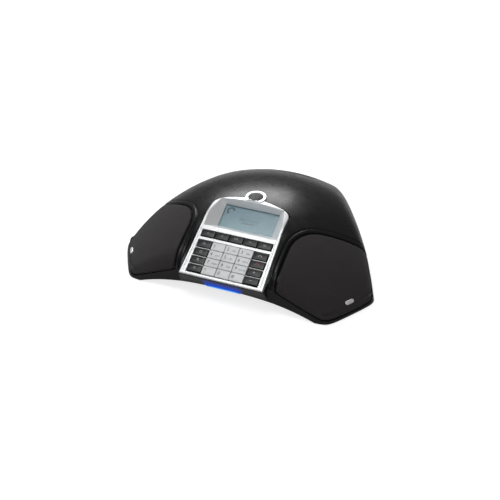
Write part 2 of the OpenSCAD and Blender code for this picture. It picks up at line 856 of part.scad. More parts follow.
// Windows in the bay walls in front of the sockets
module jack_windows() {
    at_side(SIDES[1]) {
        jack_window(LAN_T, lan_hole + [1, 1.6], 0.6);
        jack_window(AUX_T, aux_hole + [1, 1.6], 0.6);
        jack_window(USB_T, usb_hole + [1, 1], 0);
        translate([POWER_T, -bay_in - 1, socket_z]) rotate([-90, 0, 0])
            cylinder(d = power_hole_d + 1.6, h = wall + 2);
    }
    at_side(SIDES[2]) {
        for (t = MIC_T) jack_window(t, aux_hole + [1, 1.6], 0.6);
        translate([CARD_T - card_hole.x / 2 - 0.5, -bay_in - 1, card_z - card_hole.y / 2 - 0.4])
            cube([card_hole.x + 1, wall + 2, card_hole.y + 0.8]);
    }
}

module jack_window(t, size, lift) {
    translate([t - size.x / 2, -bay_in - 1, socket_z - size.y / 2 + lift]) cube([size.x, wall + 2, size.y]);
}

// ---------- feet and fasteners ----------

module rubber_feet() {
    color([0.1, 0.1, 0.1]) placed() each_leg() translate([foot_at, 0, 0])
        cylinder(d = foot_d, h = foot_h + 0.8);
}

// Pan-head screw along +Z, its head below the origin
module screw(shank_d, length, head_d, head_h) {
    difference() {
        union() {
            cylinder(d = shank_d, h = length, $fn = 32);
            translate([0, 0, -head_h]) cylinder(d = head_d, h = head_h, $fn = 32);
        }
        for (a = [0, 90]) rotate([0, 0, a])
            translate([-head_d * 0.3, -0.3, -head_h - 1]) cube([head_d * 0.6, 0.6, 1 + head_h * 0.5]);
    }
}

module case_screws() {
    color([0.45, 0.45, 0.47]) placed() each_leg() for (hand = [-1, 1])
        translate([screw_at.x, hand * screw_at.y, base_z + 1.4]) screw(screw_d, 14, screw_head_d, 1.2);
}

// Three screws hold the main board, four hold the key board
module board_screws() {
    color([0.62, 0.62, 0.64]) placed() {
        each_leg() translate([pcb_boss_at, 0, pcb_z + pcb_t]) rotate([180, 0, 0])
            screw(screw_d, 8, screw_head_d, 1.4);
        for (u = ear_u, hand = [-1, 1]) on_slope() translate([hand * ear_x, u, -board_top - board_t])
            screw(1.8, 3.8, 3.6, 1);
    }
}

module speaker_screws() {
    color([0.62, 0.62, 0.64]) placed() for (leg = LEGS, a = [0, 120, 240]) at_speaker(leg)
        rotate([0, 0, a]) translate([speaker_d / 2 + 1.2, 0, -flange_t]) screw(2, 3.4, 4.6, 1);
}

// ---------- nodes ----------

top_shell();
bottom_shell();
bezel();
display_window();
display_module();
display_backlight();
display_carrier();
keymat();
bay_lining(SIDES[0]);  // bay_front
bay_lining(SIDES[1]);  // bay_right
bay_lining(SIDES[2]);  // bay_left
for (i = [1:5]) nav_key(i - 1);
for (i = [1:4]) function_key(-1, i - 1);
for (i = [1:4]) function_key(1, i - 1);
for (i = [0:11]) number_key(i);
mic_grille();
mic_boot();
mic_capsule();
status_lights();
keypad_board();
main_board();
ribbon_cables();
grille(2);  // grille_front_left
grille(0);  // grille_front_right
grille(1);  // grille_rear
leg_badges();
speaker_frames();
speaker_cones();
speaker_magnets();
lan_jack();
power_jack();
usb_socket();
aux_socket();
mic_sockets();
card_socket();
rubber_feet();
case_screws();
board_screws();
speaker_screws();
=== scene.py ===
"""Looks of a three-legged desk conference phone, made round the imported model.

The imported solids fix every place. Here the parts that show get their final surfaces: shapes are
worked out with numpy as functions of two parameters, in millimetres round the dome's own axis, and
put into meshes in metres in the model's frame. Finishes are node materials.
"""

import json
import logging
import math
from dataclasses import dataclass
from enum import Enum
from typing import Any, Callable, Iterable, Sequence

import bmesh
import bpy
import numpy as np
from mathutils import Matrix, Vector

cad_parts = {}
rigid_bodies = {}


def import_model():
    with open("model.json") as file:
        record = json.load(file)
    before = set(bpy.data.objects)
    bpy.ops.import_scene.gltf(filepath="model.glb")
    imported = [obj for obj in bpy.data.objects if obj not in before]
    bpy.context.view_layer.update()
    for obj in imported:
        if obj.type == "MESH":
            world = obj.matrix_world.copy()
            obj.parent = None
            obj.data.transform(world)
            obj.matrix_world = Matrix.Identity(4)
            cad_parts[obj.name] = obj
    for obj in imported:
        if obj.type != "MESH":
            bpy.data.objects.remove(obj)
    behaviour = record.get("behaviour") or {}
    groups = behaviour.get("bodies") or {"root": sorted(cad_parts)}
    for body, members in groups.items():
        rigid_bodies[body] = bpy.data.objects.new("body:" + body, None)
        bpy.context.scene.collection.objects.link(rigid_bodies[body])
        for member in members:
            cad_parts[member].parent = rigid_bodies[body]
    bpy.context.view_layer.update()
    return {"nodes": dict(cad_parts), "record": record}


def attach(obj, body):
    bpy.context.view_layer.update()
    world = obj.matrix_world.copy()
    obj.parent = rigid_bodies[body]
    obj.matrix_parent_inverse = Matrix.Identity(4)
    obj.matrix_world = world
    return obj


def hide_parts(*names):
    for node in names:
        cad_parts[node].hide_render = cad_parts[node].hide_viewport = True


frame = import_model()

log = logging.getLogger("conference_phone")

Array = np.ndarray
Colour = tuple[float, float, float]
Material = bpy.types.Material
Socket = bpy.types.NodeSocket

MM = 0.001
BODY = "phone"
TILT = math.radians(30.0)
SIN_T, COS_T = math.sin(TILT), math.cos(TILT)
KEY_FRONT, KEY_LOW = 90.5, 28.4
LIP_GAP = 0.4
BEZEL_LIP, BEZEL_DROP = 2.7, 1.2
TIP = 121.5
BEZEL_HALF, BEZEL_TOP, BEZEL_ARCH = 37.3, 81.3, 92.0
SHOULDER_U, SHOULDER_R = 30.0, 54.9
TAPER = math.radians(1.9)
ROW, COLUMN, SIDE_W = 7.7, 12.5, 13.2
BLOCK_HALF = 1.5 * COLUMN + SIDE_W
NAV_U, NAV_H, NAV_PITCH = 4 * ROW + 3.4, 6.5, 12.8
KEY_GAP, CAP_T, STEM_D, STEM_END = 0.4, 3.1, 3.4, 6.6
DISPLAY_W, DISPLAY_H = 50.0, 22.2
DISPLAY_LOW = 51.6
DISPLAY_U, DISPLAY_HIGH = DISPLAY_LOW + DISPLAY_H / 2, DISPLAY_LOW + DISPLAY_H
WELL_FLOOR, WELL_REAR_LEAN, WINDOW_TOP = 10.6, 0.41, 11.4
MIC_Y = 15.0
SHIFT_Y = (KEY_FRONT + (BEZEL_LIP + LIP_GAP) * COS_T - (BEZEL_DROP + LIP_GAP) * SIN_T - TIP) / 2
LEGS = (-30.0, 90.0, 210.0)
SIDES = (0.0, 120.0, 240.0)
FULL_TURN, QUARTER = 2.0 * math.pi, math.pi / 2.0


# ---------------------------------------------------------------- shader expressions


class Value:
    """A number in a node tree that can be written into an expression; each operator adds a Math node."""

    def __init__(self, graph: "Graph", socket: Socket) -> None:
        """Wraps one output socket of a graph."""
        self.graph, self.socket = graph, socket

    def math(self, operation: str, *operands: Any) -> "Value":
        """Result of a Math node fed with Values or numbers."""
        node = self.graph.node("Math", {"operation": operation}, dict(enumerate(operands)))
        return Value(self.graph, node.outputs[0])

    def __add__(self, other: Any) -> "Value":
        """Sum."""
        return self.math("ADD", self, other)

    def __mul__(self, other: Any) -> "Value":
        """Product."""
        return self.math("MULTIPLY", self, other)

    def __sub__(self, other: Any) -> "Value":
        """Difference."""
        return self.math("SUBTRACT", self, other)

    def __rsub__(self, other: Any) -> "Value":
        """Difference with a number on the left."""
        return self.math("SUBTRACT", other, self)

    def sine(self) -> "Value":
        """Sine of the value."""
        return self.math("SINE", self)

    def size(self) -> "Value":
        """Absolute value."""
        return self.math("ABSOLUTE", self)

    def fit(self, low: float, high: float, to_low: float = 0.0, to_high: float = 1.0) -> "Value":
        """Maps the range from low to high smoothly on to another one, clamped."""
        node = self.graph.node("MapRange", {"clamp": True, "interpolation_type": "SMOOTHSTEP"},
                               {0: self, 1: low, 2: high, 3: to_low, 4: to_high})
        return Value(self.graph, node.outputs[0])


class Graph:
    """The node tree of a material or of the world, with its shader and its output."""

    def __init__(self, owner: Any, shader: str = "BsdfPrincipled", output: str = "OutputMaterial") -> None:
        """Empties the owner's tree and adds the two nodes.

        Args:
            owner: the material or the world.
            shader: the shader's type.
            output: the output's type.
        """
        owner.use_nodes = True
        self.owner, self.tree = owner, owner.node_tree
        self.tree.nodes.clear()
        self.shader = self.node(shader)
        self.node(output, {}, {0: self.shader.outputs[0]})

    def node(self, kind: str, settings: dict[str, Any] | None = None,
             inputs: dict[Any, Any] | None = None) -> bpy.types.Node:
        """Adds any node.

        Args:
            kind: the node's type without its common prefix.
            settings: properties set before the sockets.
            inputs: socket names or numbers with what goes into them.

        Returns:
            The node.
        """
        node = self.tree.nodes.new("ShaderNode" + kind)
        for key, value in (settings or {}).items():
            setattr(node, key, value)
        for key, value in (inputs or {}).items():
            self.feed(node.inputs[key], value)
        return node

    def feed(self, socket: Socket, value: Any) -> None:
        """Links or sets one input.

        Args:
            socket: the input.
            value: a number, a colour, a socket or a Value.
        """
        source = value.socket if isinstance(value, Value) else value
        if isinstance(source, Socket):
            self.tree.links.new(source, socket)
        else:
            socket.default_value = (*source, 1.0) if isinstance(source, tuple) else source

    def object_point(self) -> Socket:
        """Object coordinates, in metres."""
        return self.node("TexCoord").outputs["Object"]

    def uv_point(self) -> Socket:
        """The piece's own UV map, in millimetres."""
        return self.node("UVMap", {"uv_map": "UVMap"}).outputs[0]

    def split(self, point: Socket) -> list[Value]:
        """X, Y and Z of a vector."""
        return [Value(self, part) for part in self.node("SeparateXYZ", {}, {0: point}).outputs]

    def noise(self, scale: float, detail: float = 3.0, rough: float = 0.5) -> Value:
        """Noise between about 0 and 1, with its frequency in waves for each metre."""
        node = self.node("TexNoise", {}, {"Vector": self.object_point(), "Scale": scale, "Detail": detail,
                                          "Roughness": rough})
        return Value(self, node.outputs["Fac"])

    def cells(self, scale: float, distance: str = "EUCLIDEAN") -> Value:
        """Distance to the nearest of many scattered points."""
        node = self.node("TexVoronoi", {"distance": distance}, {"Vector": self.object_point(), "Scale": scale})
        return Value(self, node.outputs["Distance"])

    def mix(self, factor: Any, first: Any, second: Any) -> Socket:
        """Blends two colours: a factor of 0 gives the first and of 1 the second."""
        return self.node("Mix", {"data_type": "RGBA"}, {0: factor, 6: first, 7: second}).outputs[2]

    def bump(self, height: Value, distance: float) -> Socket:
        """Normal of a relief whose depth at a height of 1 is given in metres."""
        return self.node("Bump", {}, {"Height": height, "Distance": distance, "Strength": 1.0}).outputs[0]

    def wire(self, **inputs: Any) -> None:
        """Sets the shader's sockets, named with _ for a space."""
        for key, value in inputs.items():
            self.feed(self.shader.inputs[key.replace("_", " ")], value)


# ---------------------------------------------------------------- finishes


def tinted(colour: Colour, scale: float) -> Colour:
    """A colour made darker or lighter."""
    return tuple(min(1.0, part * scale) for part in colour)


class Finish:
    """Any finish; each kind wires its own shader."""

    def shade(self, g: Graph) -> None:
        """Wires the shader of a new material's graph."""
        raise NotImplementedError

    def material(self, name: str) -> Material:
        """Builds the material.

        Args:
            name: its name.

        Returns:
            The material.
        """
        g = Graph(bpy.data.materials.new(name))
        self.shade(g)
        return g.owner


@dataclass(frozen=True)
class MouldedPlastic(Finish):
    """Injection-moulded plastic: spark-eroded grain, faint flow clouds and handling marks in the gloss; where
    painted_glow is given, the light bar's glow painted on as emission.
    """

    colour: Colour
    roughness: float
    grain_mm: float = 0.35
    grain_depth: float = 0.00002
    cloud: float = 0.15
    specular: float = 0.5
    # colour of the light bar's glow painted on the case as emission, or none
    painted_glow: Colour | None = None

    def painted_bar_glow(self, g: Graph) -> Socket:
        """Painted glow of the front light bar on the chin, as emission of the case: strongest at the bar, gone 8
        mm above and beside it.

        Args:
            g: the graph.

        Returns:
            The colour.
        """
        x, y, z = (part * (1.0 / MM) for part in g.split(g.object_point()))
        side = x.size().fit(14.0, 19.5, 1.0, 0.0)
        front = (y - SHIFT_Y).fit(-84.0, -86.0)
        return g.mix(side * z.fit(16.0, 25.0, 1.0, 0.0) * front, (0.0, 0.0, 0.0), self.painted_glow)

    def shade(self, g: Graph) -> None:
        """Wires three noises: grain for the relief, clouds for the colour and smudges for the gloss, and the
        painted glow of the light bar where there is one.

        Args:
            g: the graph.
        """
        grain = g.noise(1.0 / (self.grain_mm * MM), 2.0, 0.6)
        clouds, smudges = g.noise(28.0), g.noise(95.0, 4.0, 0.65)
        low, high = tinted(self.colour, 1.0 - self.cloud), tinted(self.colour, 1.0 + self.cloud)
        rough = smudges.fit(0.35, 0.7, self.roughness * 0.9, self.roughness * 1.12) + (grain - 0.5) * 0.05
        g.wire(Base_Color=g.mix(clouds.fit(0.3, 0.7), low, high), Roughness=rough,
               Normal=g.bump(grain, self.grain_depth), Specular_IOR_Level=self.specular)
        # painted glow: light from the chin's bar painted into the case as emission
        if self.painted_glow is not None:
            g.wire(Emission_Color=self.painted_bar_glow(g), Emission_Strength=1.0)


@dataclass(frozen=True)
class SatinPaint(Finish):
    """Silver paint with fine flakes, or plated metal where metallic is high."""

    colour: Colour
    roughness: float
    metallic: float
    flake_mm: float = 0.12

    def shade(self, g: Graph) -> None:
        """Wires flakes into the colour, the gloss and the relief, and clouds into the first two.

        Args:
            g: the graph.
        """
        flake, clouds = g.cells(1.0 / (self.flake_mm * MM)), g.noise(40.0)
        spots = flake.fit(0.0, 0.7) * 0.6 + clouds.fit(0.35, 0.65) * 0.4
        rough = clouds.fit(0.3, 0.7, self.roughness * 0.92, self.roughness * 1.1) + flake * 0.04
        g.wire(Base_Color=g.mix(spots, self.colour, tinted(self.colour, 0.9)), Roughness=rough,
               Metallic=self.metallic, Normal=g.bump(flake, 0.000006), Coat_Weight=0.15, Coat_Roughness=0.25)


@dataclass(frozen=True)
class SpeakerCloth(Finish):
    """Tight speaker cloth: two crossing threads over and under each other, on the panel's own UV map, with painted
    shade in the hollows between threads.
    """

    colour: Colour = (0.013, 0.0119, 0.0123)
    # light is the colour on the thread tops and colour the one in the hollows: the difference between them is
    # painted shade
    light: Colour = (0.036, 0.0325, 0.034)
    pitch_mm: float = 0.62

    def shade(self, g: Graph) -> None:
        """Wires the weave: thread heights are sines of U and V, taken in turn on a chequer; the colour darkens
        where the height is low, as painted shade between threads.

        Args:
            g: the graph.
        """
        u, v = (part * (math.pi / self.pitch_mm) for part in g.split(g.uv_point())[:2])
        warp, weft = u.sine().size(), v.sine().size()
        over = ((u * 0.5).sine() * (v * 0.5).sine()).fit(-0.25, 0.25)
        height = warp * over + weft * (1.0 - over)
        clouds, fuzz = g.noise(60.0, 4.0, 0.6), g.noise(2600.0, 2.0)
        # painted shade: darker where the threads are low, plus random cloudy and fuzzy tone
        shade = height.fit(0.1, 0.95) * 0.75 + clouds.fit(0.3, 0.7) * 0.15 + fuzz * 0.1
        g.wire(Base_Color=g.mix(shade, self.colour, self.light), Roughness=clouds * 0.1 + 0.82,
               Normal=g.bump(height + fuzz * 0.25, 0.00011), Sheen_Weight=0.10, Sheen_Roughness=0.45,
               Specular_IOR_Level=0.15)


@dataclass(frozen=True)
class WovenMesh(Finish):
    """Fine acoustic mesh: a field of round holes in painted metal."""

    colour: Colour
    hole_mm: float = 0.7

    def shade(self, g: Graph) -> None:
        """Wires the holes: the product of two sine waves along crossed directions.

        Args:
            g: the graph.
        """
        x, y = (part * (FULL_TURN / (self.hole_mm * MM)) for part in g.split(g.object_point())[:2])
        hole = (x.sine() * y.sine()).size().fit(0.25, 0.6)
        g.wire(Base_Color=g.mix(hole, self.colour, tinted(self.colour, 0.25)), Metallic=0.2,
               Roughness=g.noise(900.0) * 0.15 + 0.5, Normal=g.bump(1.0 - hole, 0.0001))


@dataclass(frozen=True)
class CircuitBoard(Finish):
    """Solder mask over copper tracks: stepped bands of a warped grid show through the mask."""

    mask: Colour = (0.012, 0.085, 0.045)
    copper: Colour = (0.05, 0.17, 0.08)

    def shade(self, g: Graph) -> None:
        """Wires the tracks: bands of a sine over square cells."""
        lines = (g.cells(260.0, "MANHATTAN") * 34.0).sine().fit(0.2, 0.7)
        g.wire(Base_Color=g.mix(lines, self.mask, self.copper), Roughness=g.noise(1400.0) * 0.1 + 0.35,
               Normal=g.bump(lines, 0.00003))


@dataclass(frozen=True)
class DisplayPanel(Finish):
    """Back-lit liquid crystal: a blue-grey field with painted shadow, lighter at its foot and darker towards its
    top where the recess's upper wall shades it, with the pixel grid's fine lines.
    """

    # low is the foot's colour; high is the darker top, painted shadow from the recess's upper wall
    low: Colour = (0.205, 0.320, 0.355)
    high: Colour = (0.110, 0.185, 0.225)
    grid: Colour = (0.05, 0.08, 0.09)
    pixel_mm: float = 0.42
    glow: float = 0.22

    def shade(self, g: Graph) -> None:
        """Wires the field by the height up the slope, which darkens it towards the top as painted shadow, and the
        grid as sines across and up it.

        Args:
            g: the graph.
        """
        x, y, z = (part * (1.0 / MM) for part in g.split(g.object_point()))
        up_slope = y * COS_T + z * SIN_T
        start = (-KEY_FRONT + SHIFT_Y) * COS_T + KEY_LOW * SIN_T
        height = (up_slope - start).fit(DISPLAY_U - 11.0, DISPLAY_U + 11.0)
        clouds, turn = g.noise(70.0, 2.0), FULL_TURN / self.pixel_mm
        lines = (x * turn).sine().fit(0.75, 1.0) + (up_slope * turn).sine().fit(0.75, 1.0)
        # painted shadow darkening the top of the field, with random cloudy tone
        picture = g.mix(height * 0.85 + clouds * 0.15, self.low, self.high)
        ruled = g.mix(lines * 0.12, picture, self.grid)
        g.wire(Base_Color=ruled, Roughness=clouds * 0.05 + 0.3, Emission_Color=ruled, Emission_Strength=self.glow)


@dataclass(frozen=True)
class ClearWindow(Finish):
    """Polished acrylic: nearly clear, with a faint tint and hairline wipe marks in its gloss."""

    tint: Colour = (0.30, 0.36, 0.40)
    pale: Colour = (0.8, 0.85, 0.88)
    alpha: float = 0.08

    def shade(self, g: Graph) -> None:
        """Wires the wipe marks as one fine noise."""
        wipes = g.noise(340.0, 5.0, 0.7)
        g.wire(Base_Color=g.mix(wipes.fit(0.4, 0.8) * 0.3, self.tint, self.pale),
               Roughness=wipes.fit(0.3, 0.8, 0.05, 0.14), Alpha=self.alpha)


@dataclass(frozen=True)
class LitBar(Finish):
    """Frosted light bar: deep blue that turns to cyan along its lower edge, brightest in the middle."""

    deep: Colour = (0.0, 0.04, 0.50)
    bright: Colour = (0.13, 0.52, 1.0)
    dim: Colour = (0.0, 0.01, 0.2)
    strength: float = 1.1

    def shade(self, g: Graph) -> None:
        """Wires the light: V of the bar's UV map runs from its lower to its upper edge.

        Args:
            g: the graph.
        """
        u, v = g.split(g.uv_point())[:2]
        ends, frost = u.size().fit(0.55, 1.0, 1.0, 0.35), g.noise(1500.0)
        shaded = g.mix(ends * 0.85 + frost * 0.15, self.dim, g.mix(v.fit(0.1, 0.62), self.bright, self.deep))
        g.wire(Base_Color=g.mix(frost, (0.0, 0.03, 0.16), (0.01, 0.05, 0.22)), Emission_Color=shaded,
               Emission_Strength=self.strength, Roughness=frost * 0.1 + 0.4, Specular_IOR_Level=0.25)


class Finishes:
    """Every finish of the phone, made once and looked up by its material slot or its print."""

    def __init__(self) -> None:
        """Builds the materials."""
        plastic, paint = MouldedPlastic, SatinPaint
        kinds: dict[str, Finish] = {
            # the last colour is the light bar's glow, painted on the chin as emission
            "case_black": plastic((0.0055, 0.0055, 0.006), 0.29, 0.5, 0.000010, 0.10, 0.27, (0.0, 0.03, 0.36)),
            "base_black": plastic((0.010, 0.010, 0.011), 0.55, 0.6, 0.00004),
            "silver_bezel": paint((0.76, 0.77, 0.78), 0.33, 0.30),
            "clear_window": ClearWindow(),
            "display_glass": DisplayPanel(),
            "white_diffuser": plastic((0.80, 0.82, 0.80), 0.5),
            "dark_plastic": plastic((0.03, 0.03, 0.033), 0.55),
            "keymat_rubber": plastic((0.018, 0.018, 0.019), 0.75, 0.3, 0.00003),
            "black_keys": plastic((0.007, 0.007, 0.0075), 0.34, 0.25, 0.000006, 0.1, 0.3),
            "silver_keys": plastic((0.56, 0.57, 0.58), 0.38, 0.3, 0.000010, 0.05),
            "grey_mesh": WovenMesh((0.17, 0.17, 0.175)),
            "black_rubber": plastic((0.015, 0.015, 0.015), 0.85, 0.5, 0.00006),
            "steel_parts": paint((0.55, 0.55, 0.56), 0.32, 1.0),
            "blue_light": LitBar(),
            "green_board": CircuitBoard(),
            "amber_film": plastic((0.50, 0.28, 0.07), 0.35, 0.6),
            "charcoal_cloth": SpeakerCloth(),
            "badge_chrome": paint((0.86, 0.86, 0.88), 0.26, 0.6),
            "speaker_paper": plastic((0.03, 0.03, 0.03), 0.8, 0.9, 0.00008),
            "socket_steel": paint((0.60, 0.60, 0.62), 0.3, 1.0),
            "screw_steel": paint((0.42, 0.42, 0.44), 0.35, 1.0),
        }
        inks = {"pale_print": (0.30, 0.31, 0.32), "red_print": (0.20, 0.012, 0.016),
                "dark_print": (0.012, 0.012, 0.014), "pixel_print": (0.03, 0.05, 0.06)}
        kinds |= {name: plastic(colour, 0.5, 0.2, 0.000004) for name, colour in inks.items()}
        self.slots = {name: kind.material(name) for name, kind in kinds.items()}

    def dress(self) -> None:
        """Puts a finish on every CAD solid that still shows its own shape."""
        wanted = {part["node"]: part["material_slot"] for part in frame["record"]["subparts"]}
        for name, node in frame["nodes"].items():
            finish = self.slots[wanted[name]]
            for item in (node if isinstance(node, (list, tuple)) else [node]):
                if not item.material_slots:
                    item.data.materials.append(finish)
                for slot in item.material_slots:
                    slot.material = finish


# ---------------------------------------------------------------- numbers on arrays


def bearing(angle: float) -> tuple[float, float]:
    """Sine and cosine of an angle in degrees."""
    return math.sin(math.radians(angle)), math.cos(math.radians(angle))


def smooth_max(first: Array, second: Array, width: float) -> Array:
    """Greater of two fields, plus width / 4 times the squared closeness where they differ by less than it."""
    close = np.maximum(width - np.abs(first - second), 0.0) / width
    return np.maximum(first, second) + close * close * width * 0.25


def smooth_min(first: Array, second: Array, width: float) -> Array:
    """Lesser of two fields with the same rounding."""
    return -smooth_max(-np.asarray(first), -np.asarray(second), width)


def rounded(radius: float, near: Array) -> Array:
    """Drop of a quarter round at a distance from its outer edge."""
    return radius - np.sqrt(radius ** 2 - (radius - near) ** 2)


def ease(values: Array, low: float, high: float) -> Array:
    """Cubic step from 0 at low to 1 at high."""
    part = np.clip((values - low) / (high - low), 0.0, 1.0)
    return part * part * (3.0 - 2.0 * part)


def stack(x: Array, y: Array, z: Array) -> Array:
    """Points from three fields that broadcast together, on a last axis of three."""
    return np.stack(np.broadcast_arrays(np.asarray(x, float), np.asarray(y, float), np.asarray(z, float)), -1)


def unit(vectors: Array) -> Array:
    """Vectors scaled to length one."""
    return vectors / np.linalg.norm(vectors, axis=-1, keepdims=True)


def on_slope(x: Array, u: Array, h: Array) -> Array:
    """Key-field coordinates turned to the dome's frame: U runs up the slope and H stands out of it."""
    u, h = np.asarray(u, float), np.asarray(h, float)
    return stack(x, -KEY_FRONT + u * COS_T - h * SIN_T, KEY_LOW + u * SIN_T + h * COS_T)


def to_slope(points: Array) -> tuple[Array, Array, Array]:
    """Points of the dome's frame turned to X, U and H."""
    y, z = points[..., 1] + KEY_FRONT, points[..., 2] - KEY_LOW
    return points[..., 0], y * COS_T + z * SIN_T, z * COS_T - y * SIN_T


def halve(shape: tuple[int, ...], low: float, high: float, steps: int,
          inside: Callable[[Array], Array]) -> Array:
    """Where a test turns false, for every item: the bracket is halved again and again.

    Args:
        shape: the items' shape.
        low: a number at which the test is true.
        high: a number at which it is false.
        steps: number of halvings.
        inside: the test of an array of numbers.

    Returns:
        The numbers.
    """
    lows, highs = np.full(shape, float(low)), np.full(shape, float(high))
    for _ in range(steps):
        middle = (lows + highs) * 0.5
        within = inside(middle)
        lows, highs = np.where(within, middle, lows), np.where(within, highs, middle)
    return (lows + highs) * 0.5


def cast(form: Callable[[Array], Array], origin: Array, direction: Array, reach: float, steps: int = 34) -> Array:
    """Where rays leave a form.

    Args:
        form: a field that is negative inside the form.
        origin: where the rays start, inside the form.
        direction: unit directions.
        reach: a distance that is outside the form on every ray.
        steps: number of halvings.

    Returns:
        The points on the form's surface.
    """
    length = halve(direction.shape[:-1], 0.0, reach, steps,
                   lambda t: form(origin + direction * t[..., None]) < 0.0)
    return origin + direction * length[..., None]


# ---------------------------------------------------------------- pieces


class Piece:
    """One mesh made of patches: each patch is a grid of points in millimetres in the dome's frame."""

    def __init__(self, name: str, body: str = BODY) -> None:
        """Starts an empty piece.

        Args:
            name: the object's name.
            body: the body that it moves with.
        """
        self.name, self.body, self.count = name, body, 0
        self.points: list[Array] = []
        self.maps: list[Array] = []
        self.quads: list[Array] = [np.zeros((0, 4), int)]
        self.caps: list[Array] = []

    def add(self, points: Array, uv: Array | None) -> None:
        """Adds points, with their UV or none."""
        self.points.append(points.reshape(-1, 3))
        self.maps.append(np.zeros((points.size // 3, 2)) if uv is None else uv.reshape(-1, 2))
        self.count += points.size // 3

    def patch(self, points: Array, away: Array, wrap: bool = False, keep: Array | None = None,
              uv: Array | None = None, caps: tuple[bool, bool] = (False, False), inward: bool = False) -> None:
        """Adds a grid whose faces look away from a point, or towards it.

        Args:
            points: rows by columns by three.
            away: a point behind the surface.
            wrap: joins the last column to the first.
            keep: which cells are made; all of them if it is left out.
            uv: rows by columns by two.
            caps: closes the first row and the last row with one flat face each.
            inward: makes the faces look towards the point, as a hole's walls do.
        """
        index = np.arange(points.size // 3).reshape(points.shape[:2]) + self.count
        ring = np.concatenate([index, index[:, :1]], axis=1) if wrap else index
        quads = np.stack([ring[:-1, :-1], ring[:-1, 1:], ring[1:, 1:], ring[1:, :-1]], axis=-1)
        quads = quads.reshape(-1, 4) if keep is None else quads[keep]
        corner = points.reshape(-1, 3)[quads - self.count]
        normal = np.cross(corner[:, 2] - corner[:, 0], corner[:, 3] - corner[:, 1])
        turned = (float(np.sum(normal * (corner.mean(axis=1) - np.asarray(away, float)))) < 0.0) != inward
        self.quads.append(quads[:, ::-1] if turned else quads)
        if caps[0]:
            self.caps.append(index[0] if turned else index[0][::-1])
        if caps[1]:
            self.caps.append(index[-1][::-1] if turned else index[-1])
        self.add(points, uv)

    def facets(self, points: Array, faces: Sequence[Sequence[int]]) -> None:
        """Adds loose polygons that already look the right way, as corner numbers of their points."""
        self.caps.extend(np.asarray(face) + self.count for face in faces)
        self.add(points, None)

    def finish(self, looks: Finishes, slot: str, nodes: Sequence[str] = (), ink: str = "") -> None:
        """Makes the object, in metres in the model's frame, and binds it.

        Points that lie on each other are joined, except in a print, which is loose polygons.

        Args:
            looks: the finishes.
            slot: the record's material slot.
            nodes: the CAD nodes that it stands for.
            ink: the finish of a print, if it is one.
        """
        place = (np.concatenate(self.points) + np.array([0.0, SHIFT_Y, 0.0])) * MM
        quads = np.concatenate(self.quads)
        loops = np.concatenate([quads.ravel(), *self.caps]).astype(np.int32)
        sizes = np.concatenate([np.full(len(quads), 4), [len(cap) for cap in self.caps]]).astype(np.int32)
        mesh = bpy.data.meshes.new(self.name)
        mesh.vertices.add(len(place))
        mesh.vertices.foreach_set("co", place.astype(np.float32).ravel())
        mesh.loops.add(len(loops))
        mesh.loops.foreach_set("vertex_index", loops)
        mesh.polygons.add(len(sizes))
        mesh.polygons.foreach_set("loop_start", np.concatenate([[0], np.cumsum(sizes)[:-1]]).astype(np.int32))
        mesh.update(calc_edges=True)
        mesh.polygons.foreach_set("use_smooth", np.ones(len(sizes), dtype=bool))
        layer = mesh.uv_layers.new(name="UVMap")
        layer.data.foreach_set("uv", np.concatenate(self.maps)[loops].astype(np.float32).ravel())
        if not ink:
            work = bmesh.new()
            work.from_mesh(mesh)
            bmesh.ops.remove_doubles(work, verts=work.verts, dist=0.000002)
            work.to_mesh(mesh)
            work.free()
        mesh.validate()
        mesh.materials.append(looks.slots[ink or slot])
        piece = bpy.data.objects.new(self.name, mesh)
        bpy.context.scene.collection.objects.link(piece)
        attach(piece, self.body)
        if nodes:
            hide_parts(*nodes)
        log.info("%s: %d faces on %s", self.name, len(mesh.polygons), self.body)


# ---------------------------------------------------------------- form of the case


